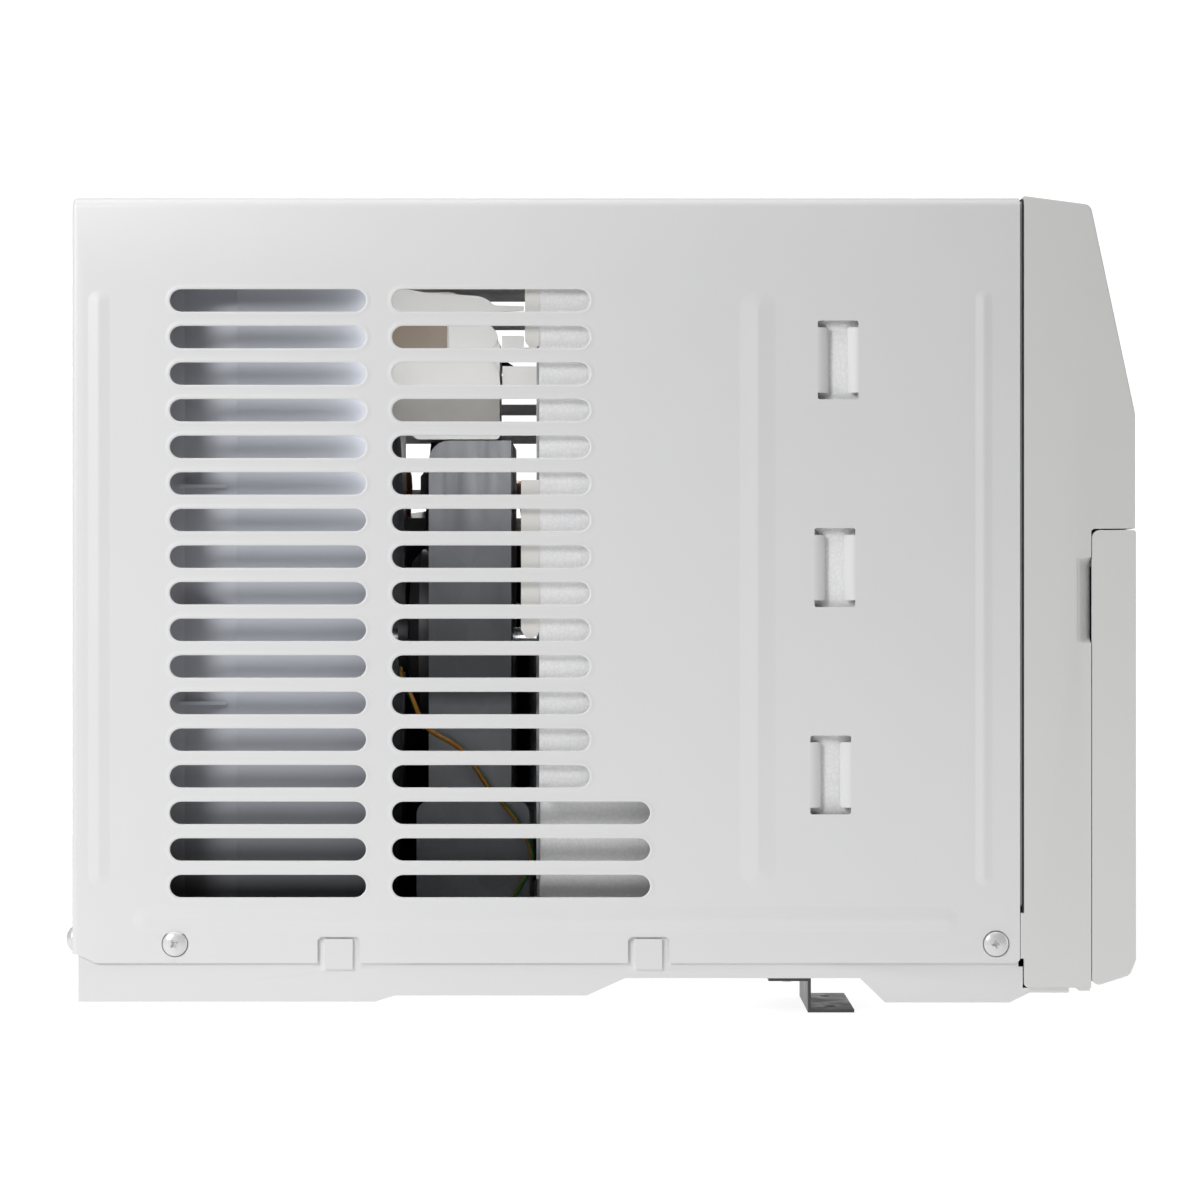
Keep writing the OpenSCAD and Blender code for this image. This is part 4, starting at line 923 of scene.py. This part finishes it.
EARTH_ROUTE = ((-84, 99.5, 154), (-99, 98, 149), (-106.8, 93, 141), (-107.2, 86, 126.3),
               (-107.9, 68, 114.5), (-107.4, 54.6, 96), (-108, 40.3, 79), (-107.3, 33.2, 60.5),
               (-107.9, 40, 46), (-108.6, 48, 30), (-110, 52, 12))
HARNESS_ROUTE = ((145, -74, 300), (144, -20, 312), (140, 20, 315), (138, 40, 312), (118, 60, 322),
                 (60, 72, 330), (-20, 76, 322), (-60, 78, 300), (-62, 84, 240), (-60, 84, 213))
DISCHARGE_ROUTE = ((142, 110, 233), (143.6, 110.8, 262), (176, 140, 277.3), (213.6, 166, 282.6),
                   (218.7, 194, 315.4), (216.4, 208.3, 331.2), (207.4, 210, 333))
SUCTION_ROUTE = ((94, 57, 194), (94, 57, 232), (114, 48, 248), (180, 42, 246), (210, 38, 232),
                 (212, 20, 222), (213, -60, 214), (213, -160, 206), (211, -196, 196))
CAPILLARY_ROUTE = ((224, 118.5, 60), (224, 104, 62), (226, 84, 110), (226, 50, 180), (224, 30, 212),
                   (222, -40, 196), (222, -150, 180), (216, -204, 172))
LIQUID_ROUTE = ((224, 189.5, 60), (225.6, 204, 63.5), (228, 219, 84), (229, 223.4, 318),
                (223, 224.5, 330), (207.4, 224, 333))
EARTH_R = 1.25
HARNESS_R = 3.6
DISCHARGE_R = 4.0
SUCTION_R = 4.8
CAPILLARY_R = 1.5
LIQUID_R = 3.0
STRIPE_PROUD = 0.03
STRIPE_CORNERS = 6
STRIPE_TWIST = 0.09


def make_leads():
    """The two-coloured earth lead and the motor's lead."""
    orange = surface("wire_orange", (0.60, 0.24, 0.03), 0.4, vary=0.12, vary_scale=90.0, grain=800.0)
    make_tube("earth_lead", "earth_wire", [(EARTH_R, EARTH_ROUTE)], "wire_green")
    bm = bmesh.new()
    sweep_round(bm, EARTH_ROUTE, EARTH_R + STRIPE_PROUD, STRIPE_CORNERS, STRIPE_TWIST)
    new_object("earth_lead_stripe", bm, orange, "root")
    make_tube("motor_lead", "wire_harness", [(HARNESS_R, HARNESS_ROUTE)], "wire_black")


def make_pipes():
    """The copper lines of the sealed system."""
    make_tube("discharge_tube", "discharge_pipe", [(DISCHARGE_R, DISCHARGE_ROUTE)], "copper")
    make_tube("suction_tube", "suction_pipe", [(SUCTION_R, SUCTION_ROUTE)], "copper")
    lines = [(CAPILLARY_R, CAPILLARY_ROUTE), (LIQUID_R, LIQUID_ROUTE)]
    make_tube("capillary_line", "capillary_tube", lines, "copper")


# ---------- small pieces seen through the slots and round the seam ----------

def add_plate(bm, outline, x0, x1):
    """A flat plate between x0 and x1 whose outline is in (y, z)."""
    near = [bm.verts.new((x0, y, z)) for y, z in outline]
    far = [bm.verts.new((x1, y, z)) for y, z in outline]
    join_rings(bm, [near, far])
    bm.faces.new(near)
    bm.faces.new(list(reversed(far)))
    bmesh.ops.recalc_face_normals(bm, faces=bm.faces)


# plates of the lead guide as outlines in (y, z)
GUIDE_X = (-106.2, -104.0)
GUIDE_COVER = ((103, 341.4), (93.7, 341.1), (86, 339.6), (70, 338.6), (60, 337.9), (57.5, 337.2),
               (55, 335.9), (53, 334.2), (51.5, 333.4), (37.5, 333.0), (37.5, 330.8), (51.5, 330.2),
               (51.5, 329.0), (103, 329.0))
GUIDE_WINDOW = ((103, 328.6), (75.4, 328.6), (75.4, 309.4), (103, 309.4))
GUIDE_FLAP = ((74.4, 328.6), (54.4, 328.6), (53.4, 323), (51, 320.4), (50.2, 317.5), (51, 314.5),
              (53.4, 312), (54.4, 309.4), (74.4, 309.4))
GUIDE_LEDGE = ((48.3, 318.4), (37.5, 318.4), (37.5, 309.4), (48.3, 309.4))
GUIDE_TRAY = ((103, 308.4), (57.5, 308.4), (53.5, 306.6), (49.6, 300), (48.8, 289.8), (103, 289.8))
GUIDE_STEP = ((48.0, 303.4), (31.2, 303.4), (31.2, 294.2), (48.0, 294.2))
GUIDE_SKIRT = ((103, 288.9), (49.6, 288.9), (49.6, 272.2), (103, 272.2))


def make_plates(name, outlines, x, material):
    """Thin plates of one finish, all between the two values of x."""
    bm = bmesh.new()
    for outline in outlines:
        add_plate(bm, outline, *x)
    new_object(name, bm, material, "root")


def make_wire_guide():
    """The pale, tan and taupe faces of the guide that carries the motor's lead."""
    film = surface("guide_film", (0.27, 0.21, 0.15), 0.35, vary=0.12, vary_scale=40.0, grain=300.0)
    taupe = surface("guide_taupe", (0.30, 0.285, 0.26), 0.4, vary=0.06, vary_scale=30.0)
    pale = (GUIDE_COVER, GUIDE_FLAP, GUIDE_LEDGE, GUIDE_TRAY, GUIDE_STEP)
    make_plates("guide_cover", pale, GUIDE_X, MATERIALS["white_plastic"])
    make_plates("guide_window", [GUIDE_WINDOW], GUIDE_X, film)
    make_plates("guide_skirt", [GUIDE_SKIRT], GUIDE_X, taupe)


TAPE_X = (-234.2, -233.4)
TAPE_UPPER = ((34.3, 334), (27.6, 334), (27.6, 305), (30, 303.2), (31.6, 302.4), (33, 304.8),
              (34.3, 306.6))
TAPE_LOWER = ((36.1, 243.2), (27.6, 243.2), (27.6, 174.4), (28.6, 172), (31, 170.8), (34, 171.2),
              (36.1, 174.6))


def make_tape():
    """Sealing tape on the rear end of the foam, its upper piece torn off short."""
    make_plates("foam_tape", (TAPE_UPPER, TAPE_LOWER), TAPE_X, MATERIALS["white_plastic"])


# painted shade: a dark strip that stands for the shadow in the joint between the cabinet and the front
SEAM_SHADE_Y = (-193.3, -192.55)
SEAM_SHADE_LOW = 45.8
SEAM_SHADE_INSET = (0.35, 1.5)


def make_seam_shade():
    """A dark strip in the rubber finish, in the joint between the cabinet and the front: painted shade
    for the shadow in the gap.
    """
    bm = bmesh.new()
    rows = []
    (outer, inner), (front, rear) = SEAM_SHADE_INSET, SEAM_SHADE_Y
    for inset, y in ((outer, front), (outer, rear), (inner, rear), (inner, front)):
        rows.append([bm.verts.new((x, y, z)) for x, z in wrapper_path(inset, SEAM_SHADE_LOW)])
    rows.append(rows[0])
    join_rings(bm, rows, closed=False)
    for end in (0, -1):
        bm.faces.new([row[end] for row in rows[:4]])
    bmesh.ops.recalc_face_normals(bm, faces=bm.faces)
    new_object("front_seam_shade", bm, MATERIALS["rubber"], "root")


SCOOP_Y = (-217.6, -223.9)
SCOOP_Z = (168.5, 208.1)
SCOOP_DEPTH = 5.2
SCOOP_STEPS = 10
SCOOP_CURVE = 1.35
# distance from an end of the scoop, and the share of its depth reached there
SCOOP_ENDS = ((0.0, 0.0), (0.8, 0.5), (2.0, 0.86), (3.6, 1.0))
SKIN_DEPTH = 0.02    # keeps a piece just behind the face it lies in


def make_scoops():
    """Finger scoops beside the grille: flush at the rear, deepening forwards, rounded at both ends."""
    levels = [(SCOOP_Z[0] + d, k) for d, k in SCOOP_ENDS]
    levels += [(SCOOP_Z[1] - d, k) for d, k in reversed(SCOOP_ENDS)]
    bm = bmesh.new()
    for s in (-1, 1):
        rows = []
        for z, share in levels:
            row = []
            for i in range(SCOOP_STEPS + 1):
                t = i / SCOOP_STEPS
                depth = SCOOP_DEPTH * t ** SCOOP_CURVE * share
                y = SCOOP_Y[0] + (SCOOP_Y[1] - SCOOP_Y[0]) * t
                row.append(bm.verts.new((s * (HALF_W - SKIN_DEPTH - depth), y, z)))
            rows.append(row)
        join_rings(bm, rows, closed=False)
    bmesh.ops.recalc_face_normals(bm, faces=bm.faces)
    new_object("finger_scoops", bm, MATERIALS["front_plastic"], "root", sharp=60.0)


RECESS_CORNER = (-223.7, 220.9)   # upper rear corner of the grille's recess, along Y and Z
WEB_R = 2.35
WEB_LAP = 0.6
WEB_REACH = 5.0


def make_recess_corners():
    """Webs that round the sharp upper corner of the frame's recess for the grille."""
    y, z = RECESS_CORNER
    outline = [(y + WEB_LAP, z + WEB_LAP), (y - WEB_R, z + WEB_LAP)]
    for k in range(ARC_STEPS + 1):
        a = 0.5 * math.pi * (1.0 - k / ARC_STEPS)
        outline.append((y - WEB_R * (1.0 - math.cos(a)), z - WEB_R * (1.0 - math.sin(a))))
    outline.append((y + WEB_LAP, z - WEB_R))
    bm = bmesh.new()
    for s in (-1, 1):
        add_plate(bm, outline, s * (HALF_W - SKIN_DEPTH), s * (HALF_W - WEB_REACH))
    new_object("recess_corners", bm, MATERIALS["front_plastic"], "root")


# ---------- cabinet screws ----------

HEAD_R = 5.6
# a screw head from its foot to the edge of its cross, as (radius, height)
HEAD_PROFILE = ((HEAD_R, 0.0), (HEAD_R, 0.45), (HEAD_R - 0.25, 0.75), (4.6, 1.25), (3.4, 1.75),
                (2.4, 2.02))
HEAD_STEPS = 48
CROSS_R, CROSS_W, CROSS_DEPTH, CROSS_RISE, CROSS_TAPER = 2.35, 0.62, 1.5, 0.1, 0.45
TOP_HEAD_SUNK = 0.35   # how far the top screws sit in their dimples
TOP_HEAD_SCALE = 0.8
REAR_HEAD_SCALE = 1.6


def cross_outline(r, w):
    """A four-pointed star whose arms narrow outwards, as (u, v)."""
    points = []
    for k in range(4):
        a = math.pi / 2 * k + math.pi / 4
        out = (math.cos(a), math.sin(a))
        across = (-out[1], out[0])
        for reach, side in ((w * 1.5, -w * 1.5), (r, -w * 0.6), (r, w * 0.6)):
            points.append((out[0] * reach + across[0] * side, out[1] * reach + across[1] * side))
    return points


def add_screw(bm, place, turn=0.0):
    """A domed head with a sunk cross; place(u, v, height) puts a point of it."""
    turns = [2 * math.pi * k / HEAD_STEPS for k in range(HEAD_STEPS)]
    rings = []
    for r, h in HEAD_PROFILE:
        rings.append([bm.verts.new(place(r * math.cos(t), r * math.sin(t), h)) for t in turns])
    join_rings(bm, rings)
    c, s = math.cos(turn), math.sin(turn)
    star = [(u * c - v * s, u * s + v * c) for u, v in cross_outline(CROSS_R, CROSS_W)]
    top = HEAD_PROFILE[-1][1]
    rim = [bm.verts.new(place(u, v, top + CROSS_RISE)) for u, v in star]
    floor = [bm.verts.new(place(u * CROSS_TAPER, v * CROSS_TAPER, top - CROSS_DEPTH)) for u, v in star]
    join_rings(bm, [rim, floor])
    bm.faces.new(floor)
    edges = [e for e in bm.edges if e.is_boundary and any(v in rings[-1] or v in rim for v in e.verts)]
    bmesh.ops.triangle_fill(bm, use_beauty=True, use_dissolve=False, edges=edges)


def make_screws():
    """Heads of the cabinet's sheet-metal screws, each with its cross at a different angle."""
    bm = bmesh.new()
    roof = CABINET_TOP - TOP_HEAD_SUNK
    for s in (-1, 1):
        for k, (y, z) in enumerate(SIDE_SCREWS):
            add_screw(bm, lambda u, v, h, s=s, y=y, z=z: (s * (HALF_W + h), y + u, z + v),
                      turn=0.12 + 0.5 * k)
        for k, (x, y) in enumerate(TOP_SCREWS):
            add_screw(bm, lambda u, v, h, s=s, y=y, x=x: (s * x + u, y + v, roof + h * TOP_HEAD_SCALE),
                      turn=0.3 * k)
        add_screw(bm, lambda u, v, h, s=s: (s * REAR_SCREW[0] + u, CABINET_REAR + h * REAR_HEAD_SCALE,
                                            REAR_SCREW[1] + v))
    bmesh.ops.recalc_face_normals(bm, faces=bm.faces)
    piece = new_object("screw_heads", bm, MATERIALS["screw_steel"], "root")
    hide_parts("cabinet_screws")


# ---------- assembly ----------

def dress_frame():
    """Every CAD node that stays gets its finished material."""
    for name, node in NODES.items():
        slot = SLOT_OF[name]
        if not node.material_slots:
            node.data.materials.append(MATERIALS[slot])
        for held in node.material_slots:
            held.material = MATERIALS[slot]


make_stage()
MATERIALS = make_materials()
dress_frame()
make_cabinet()
make_front()
make_coils()
make_leads()
make_pipes()
make_wire_guide()
make_tape()
make_seam_shade()
make_scoops()
make_recess_corners()
make_screws()
